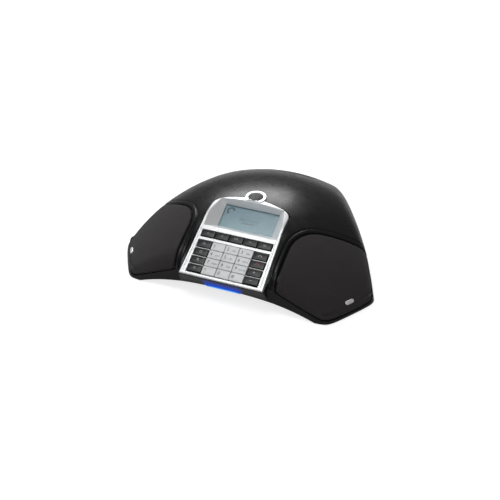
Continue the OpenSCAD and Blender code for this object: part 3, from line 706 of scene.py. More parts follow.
@dataclass(frozen=True)
class BodyForm:
    """Outer form of the case as a field: negative inside, roughly the distance outside."""

    dome_h: float = 64.5
    dome_r: float = 155.0
    side: float = 84.0
    roll_r: float = 60.0
    roll_z: float = 20.0
    tip: float = TIP
    corner: float = 123.5
    crest: float = 8.0
    end_crest: float = 2.5
    upright: float = 3.5
    valley_w: float = 38.9
    chin_u: float = -BEZEL_LIP - LIP_GAP
    chin_h: float = -BEZEL_DROP - LIP_GAP
    chin_back: float = -76.0
    arch_half: float = 80.0
    arch_low: float = 0.4
    arch_h: float = 12.3
    arch_power: float = 2.6
    base: float = 0.4

    def dome(self, points: Array) -> Array:
        """Height above the dome's sphere, along its radius."""
        centre = np.array([0.0, 0.0, self.dome_h - self.dome_r])
        return np.linalg.norm(points - centre, axis=-1) - self.dome_r

    def sides(self, points: Array) -> Array:
        """Distance outside the three long sides, each upright with a cylinder rolled over its top.

        Args:
            points: where the field is read.

        Returns:
            The field.
        """
        x, y, z = points[..., 0], points[..., 1], points[..., 2]
        field = np.full(x.shape, -self.side)
        for s, c in map(bearing, SIDES):
            out = x * s - y * c
            rolled = np.hypot(np.maximum(out - (self.side - self.roll_r), 0.0), z - self.roll_z) - self.roll_r
            field = np.maximum(field, np.where(z > self.roll_z, rolled, out - self.side))
        return field

    def ends(self, points: Array) -> Array:
        """Distance outside the leg ends, which are planes with their corners trimmed by a cylinder.

        Args:
            points: where the field is read.

        Returns:
            The field.
        """
        x, y = points[..., 0], points[..., 1]
        field = np.hypot(x, y) - self.corner
        for s, c in map(bearing, LEGS):
            field = smooth_max(field, x * c + y * s - self.tip, self.upright)
        return field

    def plain(self, points: Array) -> Array:
        """The case before anything is cut into it: the dome rounded into its sides, then into its ends."""
        body = smooth_max(self.dome(points), self.sides(points), self.crest)
        return smooth_max(body, self.ends(points), self.end_crest)

    def whole(self, points: Array) -> Array:
        """The case with the chin below the keys added and the valley round the keys taken away.

        The chin is a slab square to the slope; the valley has a flat floor and walls at 45 degrees.

        Args:
            points: where the field is read.

        Returns:
            The field.
        """
        x, u, h = to_slope(points)
        chin = np.maximum(np.abs(x) - self.valley_w, self.chin_u - u)
        chin = np.maximum(chin, np.maximum(h - self.chin_h, points[..., 1] - self.chin_back))
        solid = smooth_min(self.plain(points), chin, 4.0)
        lean = np.abs(x) + np.maximum(u, 0.0) * math.tan(TAPER) - self.valley_w - (h - self.chin_h)
        valley = smooth_max(self.chin_h - h, lean * 0.7071, 1.4)
        return smooth_max(solid, -valley, 3.0)

    def rim(self, points: Array) -> Array:
        """Height of the case's lower edge: each long side has an arch that is a power curve.

        Args:
            points: points whose place in plan counts.

        Returns:
            The height at each point.
        """
        x, y = points[..., 0], points[..., 1]
        turns = [bearing(side) for side in SIDES]
        near = np.argmax(np.stack([x * s - y * c for s, c in turns]), axis=0)
        along = np.stack([np.abs(x * c + y * s) for s, c in turns])
        t = np.take_along_axis(along, near[None], axis=0)[0]
        arch = 1.0 - np.minimum(t / self.arch_half, 1.0) ** self.arch_power
        return np.maximum(self.arch_low + (self.arch_h - self.arch_low) * arch, self.base)


@dataclass(frozen=True)
class PanelPlan:
    """Where one leg's cloth panel ends: distances outside its upright plan and below its lower edge."""

    leg: float
    starts: tuple[float, float]
    corner: float = 34.9
    low: float = 4.3
    high: float = 21.6
    fall: float = 0.44
    root: tuple[float, float, float] = (60.0, 0.0, -15.0)
    heading: tuple[float, float, float] = (35.0, 0.0, 45.0)
    reach: float = 140.0

    def distances(self, points: Array) -> tuple[Array, Array]:
        """Distance outside the plan, and distance below the lower edge, both negative inside.

        The plan is two half-planes joined by a round corner; the lower edge is the highest of a level
        plane and of one sloping plane for each long side.

        Args:
            points: where they are read.

        Returns:
            Both distances.
        """
        (s, c), (s30, c30) = bearing(self.leg), bearing(30.0)
        x, y = points[..., 0] * c + points[..., 1] * s, points[..., 1] * c - points[..., 0] * s
        first, second = x * c30 + y * s30, x * c30 - y * s30
        s1, s2 = self.starts
        wx, wy = x - (s1 + s2 + 2.0 * self.corner) / (2.0 * c30), y - (s1 - s2) / (2.0 * s30)
        in_corner = (wx * s30 - wy * c30 < 0.0) & (wx * s30 + wy * c30 < 0.0)
        plan = np.where(in_corner, np.hypot(wx, wy) - self.corner, np.maximum(s1 - first, s2 - second))
        slopes = np.maximum(self.high - self.fall * (first - s1), self.high - self.fall * (second - s2))
        return plan, (np.maximum(self.low, slopes) - points[..., 2]) / math.hypot(1.0, self.fall)

    def outside(self, points: Array, side: Array | float, below: Array | float) -> Array:
        """Distance outside the panel grown by one amount in plan and by another at its lower edge."""
        plan, lower = self.distances(points)
        return smooth_max(plan - side, lower - below, 2.2)

    def rays(self, turns: Array, tilts: Array) -> tuple[Array, Array]:
        """Rays that fan out from a point deep inside the leg, round an axis through the panel.

        Args:
            turns: angles round the axis.
            tilts: angles away from it.

        Returns:
            The origin and the unit directions, in the dome's frame.
        """
        s, c = bearing(self.leg)
        back = np.array([[c, s, 0.0], [-s, c, 0.0], [0.0, 0.0, 1.0]])
        axis, right = unit(np.array(self.heading)), np.array([0.0, 1.0, 0.0])
        up = np.cross(axis, right)
        turns, tilts = np.broadcast_arrays(turns, tilts)
        spread = np.cos(turns)[..., None] * right + np.sin(turns)[..., None] * up
        direction = np.cos(tilts)[..., None] * axis + np.sin(tilts)[..., None] * spread
        return np.array(self.root) @ back, direction @ back

    def curve(self, form: BodyForm, turns: Array, side: Array, below: Array) -> Array:
        """Tilts of the closed curves on the case at given distances outside the panel.

        Args:
            form: the case.
            turns: angles round the axis, one for each column.
            side: growth in plan, one for each row.
            below: growth at the lower edge, one for each row.

        Returns:
            The tilts, rows by columns.
        """
        def inside(tilts: Array) -> Array:
            """Whether the surface point at each tilt lies within the grown panel."""
            place = cast(form.plain, *self.rays(turns[None, :], tilts), self.reach, 22)
            return self.outside(place, side[:, None], below[:, None]) < 0.0

        return halve((len(side), len(turns)), 0.0, 1.35, 20, inside)


PANELS = {
    "front_right": PanelPlan(LEGS[0], (46.6, 54.1)),
    "rear": PanelPlan(LEGS[1], (54.1, 54.1)),
    "front_left": PanelPlan(LEGS[2], (54.1, 46.6)),
}


@dataclass
class SubAssembly:
    """What every part of the phone is made with: the form of the case and the finishes."""

    form: BodyForm
    looks: Finishes

    def build(self) -> None:
        """Makes the part's pieces."""
        raise NotImplementedError


@dataclass
class ClothPanel(SubAssembly):
    """Speaker cloth stretched over one leg, with its edge turned down into the seat."""

    name: str
    plan: PanelPlan
    columns: int = 440
    rows: int = 86
    flat: int = 18
    border: float = 6.0
    edge_r: float = 1.3
    seat: float = 2.1

    def build(self) -> None:
        """Makes the panel.

        Rows are fractions of the edge's tilt on every ray of the fan, so they run from the middle to
        the edge; the surface sinks by a quarter circle over the last edge_r millimetres, then drops
        into the seat. U and V are the distance from the middle along each column, turned by the
        column's angle, so threads keep their pitch.
        """
        turns = np.linspace(0.0, FULL_TURN, self.columns, endpoint=False)
        roll = np.linspace(0.15, QUARTER, 8)
        inset = np.concatenate([np.linspace(self.border, self.edge_r, self.flat),
                                self.edge_r * (1.0 - np.sin(roll)), [0.0, 0.0]])
        drop = np.concatenate([np.zeros(self.flat), self.edge_r * (1.0 - np.cos(roll)),
                               [self.seat * 0.85, self.seat]])
        edge = self.plan.curve(self.form, turns, -inset, -inset)
        part = np.concatenate([[0.004], np.linspace(0.02, 0.985, self.rows)])
        tilts = np.concatenate([part[:, None] * edge[:1], edge])
        depth = np.concatenate([np.zeros(len(part)), drop])[:, None]
        origin, direction = self.plan.rays(turns[None, :], tilts)
        place = cast(lambda p: self.form.plain(p) + depth, origin, direction, self.plan.reach)
        step = np.linalg.norm(np.diff(place, axis=0), axis=-1)
        along = np.concatenate([np.zeros((1, self.columns)), np.cumsum(step, axis=0)]) + 0.2
        uv = np.stack([along * np.cos(turns), along * np.sin(turns)], axis=-1)
        piece = Piece(f"cloth_{self.name}")
        piece.patch(place, origin, wrap=True, uv=uv, caps=(True, False))
        piece.finish(self.looks, "charcoal_cloth", [f"grille_{self.name}"])


@dataclass
class PanelTrim(SubAssembly):
    """Moulded border of one cloth panel: a shadow gap, a rib and a fine groove, then the case's skin."""

    name: str
    plan: PanelPlan
    columns: int = 640

    def build(self) -> None:
        """Makes the border.

        Rows are closed curves at growing distances from the cloth's edge. The relief is a table of
        distance and depth; along the lower edge it narrows to a plain step.
        """
        side = np.array([-0.7, 0.3, 1.2, 1.95, 2.06, 2.12, 2.22, 2.36, 2.55, 2.9, 3.4, 3.9, 4.2, 4.38, 4.5,
                         4.6, 4.72, 4.95, 5.2, 5.45, 5.66, 5.78, 5.9, 6.05, 6.3, 6.7, 7.1, 7.5])
        down = np.array([2.2, 2.2, 2.2, 2.15, 1.9, 0.9, 0.22, 0.06, -0.03, -0.1, -0.12, -0.1, -0.03, 0.06, 0.2,
                         0.45, 0.72, 0.85, 0.88, 0.85, 0.66, 0.4, 0.16, 0.04, -0.02, -0.03, -0.03, -0.03])
        below = np.interp(side, [-0.7, 0.3, 1.95, 2.12, 2.36, 4.38, 7.5], [-0.6, 0.1, 0.75, 0.85, 1.0, 1.35, 1.7])
        plain = np.interp(side, [-0.7, 1.95, 2.06, 2.12, 2.22, 2.36, 2.55, 7.5],
                          [2.2, 2.15, 1.9, 0.9, 0.22, 0.06, 0.0, -0.03])
        turns = np.linspace(0.0, FULL_TURN, self.columns, endpoint=False)
        tilts = self.plan.curve(self.form, turns, side, below)
        origin, direction = self.plan.rays(turns[None, :], tilts)
        out, under = self.plan.distances(cast(self.form.plain, origin, direction, self.plan.reach))
        upper = ease((out - side[:, None]) - (under - below[:, None]), -1.2, 1.2)
        depth = down[:, None] * upper + plain[:, None] * (1.0 - upper)
        place = cast(lambda p: self.form.plain(p) + depth, origin, direction, self.plan.reach)
        piece = Piece(f"case_trim_{self.name}")
        piece.patch(place, origin, wrap=True)
        piece.finish(self.looks, "case_black")


@dataclass
class CaseSkin(SubAssembly):
    """Upper case: one skin from the bezel's seat to the arched rim, with the rim turned under."""

    columns: int = 880
    rows: int = 84
    origin: tuple[float, float, float] = (0.0, -50.0, -10.0)
    lip: float = 0.8
    lift: float = 0.8
    sink: float = 3.0

    def hole(self, turns: Array) -> Array:
        """Points of the bezel's seat on each bearing, where the outline's field is zero.

        Args:
            turns: bearings round the origin.

        Returns:
            One point for each bearing, on the valley's floor or the dome, whichever is lower.
        """
        def inside(reach: Array) -> Array:
            """Whether each draped point lies within the seat."""
            x, u, _ = to_slope(self.drape(reach, turns))
            return bezel_field(x, u, self.lip) < 0.0

        return self.drape(halve(turns.shape, 0.0, 70.0, 40, inside), turns)

    def flat(self, reach: Array, turns: Array) -> Array:
        """Points of the table at a distance along each bearing."""
        return stack(self.origin[0] + reach * np.cos(turns), self.origin[1] + reach * np.sin(turns), 0.0)

    def drape(self, reach: Array, turns: Array) -> Array:
        """Points at a distance along each bearing, on the lower of the valley's floor and the dome.

        Args:
            reach: the distances.
            turns: bearings round the origin.

        Returns:
            The points.
        """
        place, form = self.flat(reach, turns), self.form
        x, y = place[..., 0], place[..., 1]
        slope = KEY_LOW + (y + KEY_FRONT) * SIN_T / COS_T + form.chin_h / COS_T
        place[..., 2] = np.minimum(slope, form.dome_h - form.dome_r + np.sqrt(form.dome_r ** 2 - x * x - y * y))
        return place

    def foot(self, turns: Array) -> Array:
        """Points of the rim on each bearing, a little above its lowest line.

        Args:
            turns: bearings round the origin.

        Returns:
            One point for each bearing.
        """
        def at(reach: Array) -> Array:
            """Points of the lifted rim line at these distances."""
            place = self.flat(reach, turns)
            place[..., 2] = self.form.rim(place) + self.lift
            return place

        return at(halve(turns.shape, 5.0, 190.0, 40, lambda reach: self.form.plain(at(reach)) < 0.0))

    def sunk(self, points: Array) -> Array:
        """How far the skin dips under the borders of the cloth panels."""
        dips = [ease(-plan.outside(points, 6.9, 1.35), 0.0, 1.0) for plan in PANELS.values()]
        return self.sink * np.max(dips, axis=0)

    def build(self) -> None:
        """Makes the skin.

        Columns are bearings spaced evenly along the rim. Rows are chords from the seat to the rim,
        closer near the seat, cast from the origin on to the form. Above come the seat's wall, square
        to the slope, and below the rim's rounded edge and inner wall.
        """
        fine = np.linspace(-math.pi, math.pi, 6001)
        run = np.concatenate([[0.0], np.cumsum(np.linalg.norm(np.diff(self.foot(fine), axis=0), axis=-1))])
        turns = np.interp(np.linspace(0.0, run[-1], self.columns, endpoint=False), run, fine)
        top, bottom = self.hole(turns), self.foot(turns)
        part = (np.linspace(0.0, 1.0, self.rows) ** 1.3)[:, None, None]
        origin = np.array(self.origin)
        skin = cast(lambda p: self.form.whole(p) + self.sunk(p), origin,
                    unit(top + (bottom - top) * part - origin), 240.0)
        square = on_slope(0.0, 0.0, 1.0) - on_slope(0.0, 0.0, 0.0)
        seat = skin[0] - square * np.array([3.0, 1.4, 0.5, 0.12])[:, None, None]
        gradient = np.stack([self.form.plain(bottom + step) - self.form.plain(bottom - step)
                             for step in np.eye(3)[:2] * 0.05], axis=-1)
        inward = -np.concatenate([unit(gradient), np.zeros((self.columns, 1))], axis=-1)
        turn_in = np.array([0.06, 0.24, 0.5, 0.8, 1.8, 2.2, 2.5, 2.6, 2.6, 2.6])
        rise = np.array([0.42, 0.2, 0.05, 0.0, 0.0, 0.1, 0.4, 0.8, 4.0, 9.0]) - self.lift
        under = skin[-1] + inward * turn_in[:, None, None] + stack(0.0, 0.0, rise)[:, None, :]
        piece = Piece("case_skin")
        piece.patch(np.concatenate([seat, skin]), origin, wrap=True)
        piece.patch(np.concatenate([skin[-1:], under]), np.array([0.0, 0.0, 500.0]), wrap=True)
        piece.finish(self.looks, "case_black", ["top_shell"])


# ---------------------------------------------------------------- bezel


def bezel_field(x: Array, u: Array, grow: float = 0.0) -> Array:
    """Distance outside the bezel's outline: two leaning sides, a flat foot and two arcs at the top.

    Args:
        x: across the keys.
        u: up the slope.
        grow: growth of the outline.

    Returns:
        The field.
    """
    sides = np.abs(x) * math.cos(TAPER) + u * math.sin(TAPER) - BEZEL_HALF - grow
    arch = np.hypot(x, u - (BEZEL_TOP - BEZEL_ARCH)) - BEZEL_ARCH - grow
    shoulder = np.hypot(x, u - SHOULDER_U) - SHOULDER_R - grow
    field = smooth_max(smooth_max(sides, shoulder, 3.5), arch, 1.0)
    return smooth_max(field, -u - BEZEL_LIP - min(grow, 0.1), 0.8)


def grid_lines(breaks: Sequence[float], step: float) -> Array:
    """Grid lines: every break, closer lines beside it, and even steps between; none less than 0.045 apart.

    Args:
        breaks: positions that must be lines.
        step: the widest spacing.

    Returns:
        The sorted lines.
    """
    marks = np.asarray(sorted(breaks), float)
    close = np.concatenate([marks + sign * fine for fine in (0.08, 0.18, 0.3, 0.5, 0.75) for sign in (-1.0, 1.0)])
    close = close[(close > marks[0]) & (close < marks[-1])]
    even = np.concatenate([np.linspace(a, b, max(2, int(math.ceil((b - a) / step)) + 1))
                           for a, b in zip(marks[:-1], marks[1:])])
    lines: list[float] = []
    for line in np.unique(np.round(np.concatenate([even, close]), 4)):
        hard = np.isclose(line, marks, atol=1e-3).any()
        if hard or not lines or line - lines[-1] >= 0.045:
            lines.append(line)
    return np.array(lines)


@dataclass
class Bezel(SubAssembly):
    """Silver frame round the keys and the display, with the deep display recess."""

    edge_r: float = 0.7
    window_r: float = 0.25
    well_lean: tuple[float, float, float] = (0.89, 0.73, WELL_REAR_LEAN)
    groove: tuple[float, float, float, float] = (1.9, 2.6, 0.45, 48.0)
    straight: float = 33.0
    wall_down: float = 2.4
    crown_from: float = 79.4
    crown_hole: float = 7.2
    windows: tuple[tuple[float, float, float], ...] = (
        (BLOCK_HALF + KEY_GAP, -KEY_GAP, 4 * ROW + KEY_GAP),
        (2.5 * NAV_PITCH + KEY_GAP, NAV_U - KEY_GAP, NAV_U + NAV_H + KEY_GAP),
    )

    def well(self, x: Array, u: Array) -> Array:
        """Height of the display recess: the highest of its floor and its four leaning walls."""
        side, low, high = self.well_lean
        walls = smooth_max((np.abs(x) - DISPLAY_W / 2) / side, (DISPLAY_LOW - u) / low, 0.8)
        return np.maximum(smooth_max(walls, (u - DISPLAY_HIGH) / high, 0.8), 0.0) - WELL_FLOOR

    def face(self, x: Array, u: Array) -> Array:
        """Height of the frame: the slope's plane or the raised dome, whichever is lower.

        The dome's height over the slope is the root of the sphere's equation along H.

        Args:
            x: across the keys.
            u: up the slope.

        Returns:
            The height.
        """
        foot = on_slope(x, u, 0.0) - np.array([0.0, 0.0, self.form.dome_h - self.form.dome_r])
        along = foot[..., 2] * COS_T - foot[..., 1] * SIN_T
        reach = (self.form.dome_r + BEZEL_DROP) ** 2 - np.sum(foot * foot, axis=-1)
        return smooth_min(np.full_like(along, -BEZEL_DROP), np.sqrt(along * along + reach) - along, 0.9)

    def height(self, x: Array, u: Array) -> Array:
        """Height of the finished surface, with its edges rolled over and its side grooves.

        Args:
            x: across the keys.
            u: up the slope.

        Returns:
            The height.
        """
        level = smooth_min(self.face(x, u), self.well(x, u), 0.7)
        level = level - rounded(self.edge_r, np.clip(-bezel_field(x, u), 0.0, self.edge_r))
        for half, low, high in self.windows:
            gap = np.maximum(np.abs(x) - half, np.maximum(low - u, u - high))
            level = level - rounded(self.window_r, np.clip(gap, 0.0, self.window_r))
        start, end, depth, top = self.groove
        across = BEZEL_HALF - (np.abs(x) * math.cos(TAPER) + u * math.sin(TAPER))
        cut = ease(across, start - 0.12, start + 0.12) * ease(-across, -end - 0.12, -end + 0.12)
        return level - depth * cut * ease(u, 0.0, 0.6) * ease(-u, -top, 5.0 - top)

    def spread(self, across: Array, along: Array) -> tuple[Array, Array]:
        """Bends the straight grid's outer lines on to the outline and leaves its inner lines straight.

        Lines are stretched in X to the leaning sides and in U to the arcs; what is still outside
        steps back along the field's slope.

        Args:
            across: X of the grid.
            along: U of the grid.

        Returns:
            The bent X and U.
        """
        half = (BEZEL_HALF - np.minimum(along, 72.4) * math.sin(TAPER)) / math.cos(TAPER)
        size, inner = np.abs(across), self.straight
        x = np.where(size > inner, inner + (size - inner) * (half - inner) / (BEZEL_HALF - inner), size)
        top = smooth_min(BEZEL_TOP - BEZEL_ARCH + np.sqrt(BEZEL_ARCH ** 2 - x * x),
                         SHOULDER_U + np.sqrt(SHOULDER_R ** 2 - x * x), 1.0)
        start = 74.5 - 8.5 * ease(x, 26.0, 32.0)
        u = along + np.maximum(along - start, 0.0) / (BEZEL_TOP - start) * (top - BEZEL_TOP)
        for _ in range(6):
            over, e = np.maximum(bezel_field(x, u), 0.0), 0.01
            slope = np.stack([bezel_field(x + e, u) - bezel_field(x - e, u),
                              bezel_field(x, u + e) - bezel_field(x, u - e)]) / (2.0 * e)
            step = over * (along > 60.0) / np.maximum(np.sum(slope * slope, axis=0), 0.25)
            x, u = x - slope[0] * step, u - slope[1] * step
        return x * np.sign(across), u

    def skirt(self, piece: Piece, ring: Array, down: float, middle: Array, inward: bool = True) -> None:
        """Adds a wall square to the slope, of a height, under a closed edge round a middle."""
        square = on_slope(0.0, 0.0, 1.0) - on_slope(0.0, 0.0, 0.0)
        drops = np.array([0.0, 0.3, down])[:, None, None]
        piece.patch(ring[None] - square * drops, middle, wrap=True, inward=inward)

    def ring(self, place: Array, low: int, high: int, left: int, right: int) -> Array:
        """Points round a block of the grid, in order."""
        return np.concatenate([place[low, left:right + 1], place[low + 1:high + 1, right],
                               place[high, left:right][::-1], place[low + 1:high, left][::-1]])

    def build(self) -> None:
        """Makes the frame.

        The surface is a height over a grid in X and U. Cells inside the windows, the display opening
        and the crown ring's middle are left out, and walls drop from their edges.
        """
        half, w = DISPLAY_W / 2, self.windows
        right = grid_lines([0.0, half, w[0][0], w[1][0], self.straight, BEZEL_HALF], 0.7)
        right = np.unique(np.concatenate([right, np.arange(half, self.straight, 0.4),
                                          np.arange(self.straight, BEZEL_HALF, 0.16)]))
        across = np.unique(np.round(np.concatenate([-right, right]), 4))
        along = grid_lines([-BEZEL_LIP, *w[0][1:], *w[1][1:], DISPLAY_LOW, DISPLAY_HIGH, BEZEL_TOP], 0.8)
        along = np.unique(np.round(np.concatenate([along, np.arange(44.0, DISPLAY_LOW, 0.45),
                                                   np.arange(DISPLAY_HIGH, BEZEL_TOP, 0.17)]), 4))
        x, u = self.spread(*np.meshgrid(across, along))
        place = on_slope(x, u, self.height(x, u))
        holes = [(*window, self.wall_down, -1.0) for window in w] + [(half, DISPLAY_LOW, DISPLAY_HIGH, 0.8, -11.0)]
        mx, mu = (across[:-1] + across[1:])[None, :] * 0.5, (along[:-1] + along[1:])[:, None] * 0.5
        centre = (place[:-1, :-1] + place[1:, 1:]) * 0.5
        keep = (np.hypot(centre[..., 0], centre[..., 1] + MIC_Y) > self.crown_hole) | (mu < self.crown_from)
        for size, low, high, _, _ in holes:
            keep &= ~((np.abs(mx) < size) & (mu > low) & (mu < high))
        piece = Piece("bezel_frame")
        piece.patch(place, on_slope(0.0, 40.0, -400.0), keep=keep)
        outer = self.ring(place, 0, len(along) - 1, 0, len(across) - 1)
        self.skirt(piece, outer, self.wall_down, on_slope(0.0, 40.0, 0.0), inward=False)
        for size, low, high, down, level in holes:
            rows, columns = (np.abs(lines[:, None] - ends).argmin(axis=0)
                             for lines, ends in ((along, [low, high]), (across, [-size, size])))
            self.skirt(piece, self.ring(place, *rows, *columns), down, on_slope(0.0, (low + high) / 2, level))
        self.bars(piece)
        piece.finish(self.looks, "silver_bezel", ["bezel"])

    def bars(self, piece: Piece) -> None:
        """Adds the thin bars between the function keys: a half-round section carried along X.

        Args:
            piece: where they go.
        """
        turn = np.linspace(0.0, math.pi, 9)
        across = np.concatenate([[-0.35], -0.35 * np.cos(turn), [0.35]])
        rise = np.concatenate([[-self.wall_down], 0.3 * np.sin(turn) - BEZEL_DROP - 0.3, [-self.wall_down]])
        reach = np.linspace(1.5 * COLUMN + KEY_GAP, BLOCK_HALF + 1.2, 24)
        for row in (1, 2, 3):
            for hand in (-1.0, 1.0):
                place = on_slope(hand * reach[None, :], row * ROW + across[:, None], rise[:, None])
                piece.patch(place, on_slope(hand * 25.0, row * ROW, -2.6))


@dataclass
class CrownMicrophone(SubAssembly):
    """Raised ring at the dome's crown, cut off along the recess, and the mesh dome inside it."""

    ring_r: float = 9.3
    inner_r: float = 6.35
    dome_r: float = 6.0
    rise: float = 1.7
    columns: int = 180

    def turned(self, profile: Array, cut: float) -> Array:
        """Turns a profile of radius and height round the ring's axis, then holds it behind a plane.

        Points in front of the recess's rear wall, moved back by the cut, are pushed along U on to it.

        Args:
            profile: radius and height above the dome's skin.
            cut: distance kept behind the wall.

        Returns:
            The grid.
        """
        tilt = math.asin(MIC_Y / self.form.dome_r)
        turns = np.linspace(0.0, FULL_TURN, self.columns, endpoint=False)
        r, z = profile[:, :1], self.form.dome_r + profile[:, 1:]
        x, y = r * np.cos(turns), r * np.sin(turns)
        place = stack(x, y * math.cos(tilt) - z * math.sin(tilt), y * math.sin(tilt) + z * math.cos(tilt))
        place[..., 2] += self.form.dome_h - self.form.dome_r
        px, u, h = to_slope(place)
        return on_slope(px, np.maximum(u, DISPLAY_HIGH + WELL_REAR_LEAN * (h + WELL_FLOOR) + cut), h)

    def build(self) -> None:
        """Makes the ring, whose section has two rounded top edges, and the dome, a power curve turned."""
        arc, below = np.linspace(0.0, QUARTER, 7), np.array([0.0, -MIC_Y, -400.0])
        outer = np.stack([self.ring_r - 0.6 + 0.6 * np.cos(arc), self.rise - 0.6 + 0.6 * np.sin(arc)], axis=-1)
        inner = np.stack([self.inner_r + 0.5 - 0.5 * np.sin(arc), self.rise - 0.5 + 0.5 * np.cos(arc)], axis=-1)
        section = np.concatenate([[[self.ring_r, -1.6], [self.ring_r, 0.4]], outer, inner, [[self.inner_r, -1.2]]])
        ring = Piece("crown_ring")
        ring.patch(self.turned(section, 0.5), below, wrap=True)
        ring.finish(self.looks, "silver_bezel")
        lift = np.linspace(1.0, 0.0, 22)
        dome = np.stack([self.dome_r * lift ** 0.8, 0.5 + 2.1 * (1.0 - lift ** 1.9)], axis=-1)
        dome[-1, 0] = 0.02
        dome = np.concatenate([[[self.dome_r, -1.4], [self.dome_r, 0.1]], dome])
        mesh = Piece("crown_mesh")
        mesh.patch(self.turned(dome, 2.5), below, wrap=True, caps=(False, True))
        mesh.finish(self.looks, "grey_mesh", ["mic_grille"])


# ---------------------------------------------------------------- keys and legends


Flat = tuple[Array, list[list[int]]]


class KeyKind(Enum):
    """The two kinds of key cap, by their finish."""

    BLACK = "black_keys"
    GREY = "silver_keys"


@dataclass(frozen=True)
class Mark:
    """One printed mark: a short text, or a simple sign drawn by name, placed from the key's middle."""

    text: str
    x: float
    u: float
    size: float

    def lettering(self) -> Flat:
        """Flat polygons of a short text.

        Returns:
            The corners in millimetres, and the polygons, facing up.
        """
        curve = bpy.data.curves.new("text", "FONT")
        curve.body, curve.size, curve.align_x, curve.align_y = self.text, self.size * 1.4, "CENTER", "CENTER"
        curve.resolution_u = 3
        carrier = bpy.data.objects.new("text", curve)
        bpy.context.scene.collection.objects.link(carrier)
        mesh = bpy.data.meshes.new_from_object(carrier.evaluated_get(bpy.context.evaluated_depsgraph_get()))
        flat = np.empty(len(mesh.vertices) * 3)
        mesh.vertices.foreach_get("co", flat)
        faces = [list(polygon.vertices) for polygon in mesh.polygons]
        up = mesh.polygons[0].normal.z > 0.0 if faces else True
        bpy.data.objects.remove(carrier)
        bpy.data.curves.remove(curve)
        bpy.data.meshes.remove(mesh)
        return flat.reshape(-1, 3)[:, :2], faces if up else [face[::-1] for face in faces]

    def paths(self) -> list[tuple[Array, float]]:
        """Lines of a simple sign, in shares of its size.

        Returns:
            Each line's points and its width; nothing where the text names no sign.
        """
        t = np.linspace(0.0, 1.0, 15)[:, None]

        def arch(start: float, end: float, r: float, u: float) -> Array:
            """Arc round a point at a height."""
            turn = start + (end - start) * t
            return np.concatenate([r * np.cos(turn), u + r * np.sin(turn)], axis=1)

        handset = [(arch(math.pi * 0.95, math.pi * 0.05, 0.75, -0.25), 0.26),
                   ([(-0.95, -0.35), (-0.55, -0.15)], 0.42), ([(0.95, -0.35), (0.55, -0.15)], 0.42)]
        turn = np.array([[0.77, 0.64], [-0.64, 0.77]])
        signs: dict[str, list[tuple[Any, float]]] = {
            "<up>": [([(-0.6, -0.3), (0.0, 0.35), (0.6, -0.3)], 0.2)],
            "<down>": [([(-0.6, 0.3), (0.0, -0.35), (0.6, 0.3)], 0.2)],
            "<dash>": [([(-0.8, 0.0), (0.8, 0.0)], 0.24)],
            "<plus>": [([(-0.6, 0.0), (0.6, 0.0)], 0.2), ([(0.0, -0.6), (0.0, 0.6)], 0.2)],
            "<list>": [([(-0.7, u), (0.7, u)], 0.16) for u in (0.45, 0.0, -0.45)],
            "<handset>": handset,
            "<receiver>": [(np.array(path) @ turn, width * 1.25) for path, width in handset],
            "<mute>": [(arch(0.0, FULL_TURN, 0.3, 0.25), 0.3), ([(0.0, -0.1), (0.0, -0.7)], 0.2),
                       ([(-0.7, 0.7), (0.7, -0.6)], 0.16)],
            "<hold>": [([(x, -0.5), (x, 0.5)], 0.26) for x in (-0.3, 0.3)],
            "<card>": [([(-0.6, -0.45), (0.6, -0.45), (0.6, 0.45), (-0.6, 0.45), (-0.6, -0.45)], 0.16)],
        }
        return [(np.array(path, float) * self.size, width * self.size) for path, width in signs.get(self.text, [])]

    def polygons(self) -> Flat:
        """Polygons of the mark: lettering, or lines of even width made by moving each path to both sides.

        Returns:
            The corners and the polygons.
        """
        corners: list[Array] = []
        faces: list[list[int]] = []
        for path, width in self.paths():
            step = np.gradient(path, axis=0)
            side = unit(np.stack([-step[:, 1], step[:, 0]], axis=-1)) * width / 2.0
            n = len(path)
            low = np.arange(n - 1) + sum(map(len, corners))
            faces += np.stack([low, low + 1, low + 1 + n, low + n], axis=-1).tolist()
            corners += [path - side, path + side]
        return (np.concatenate(corners), faces) if faces else self.lettering()


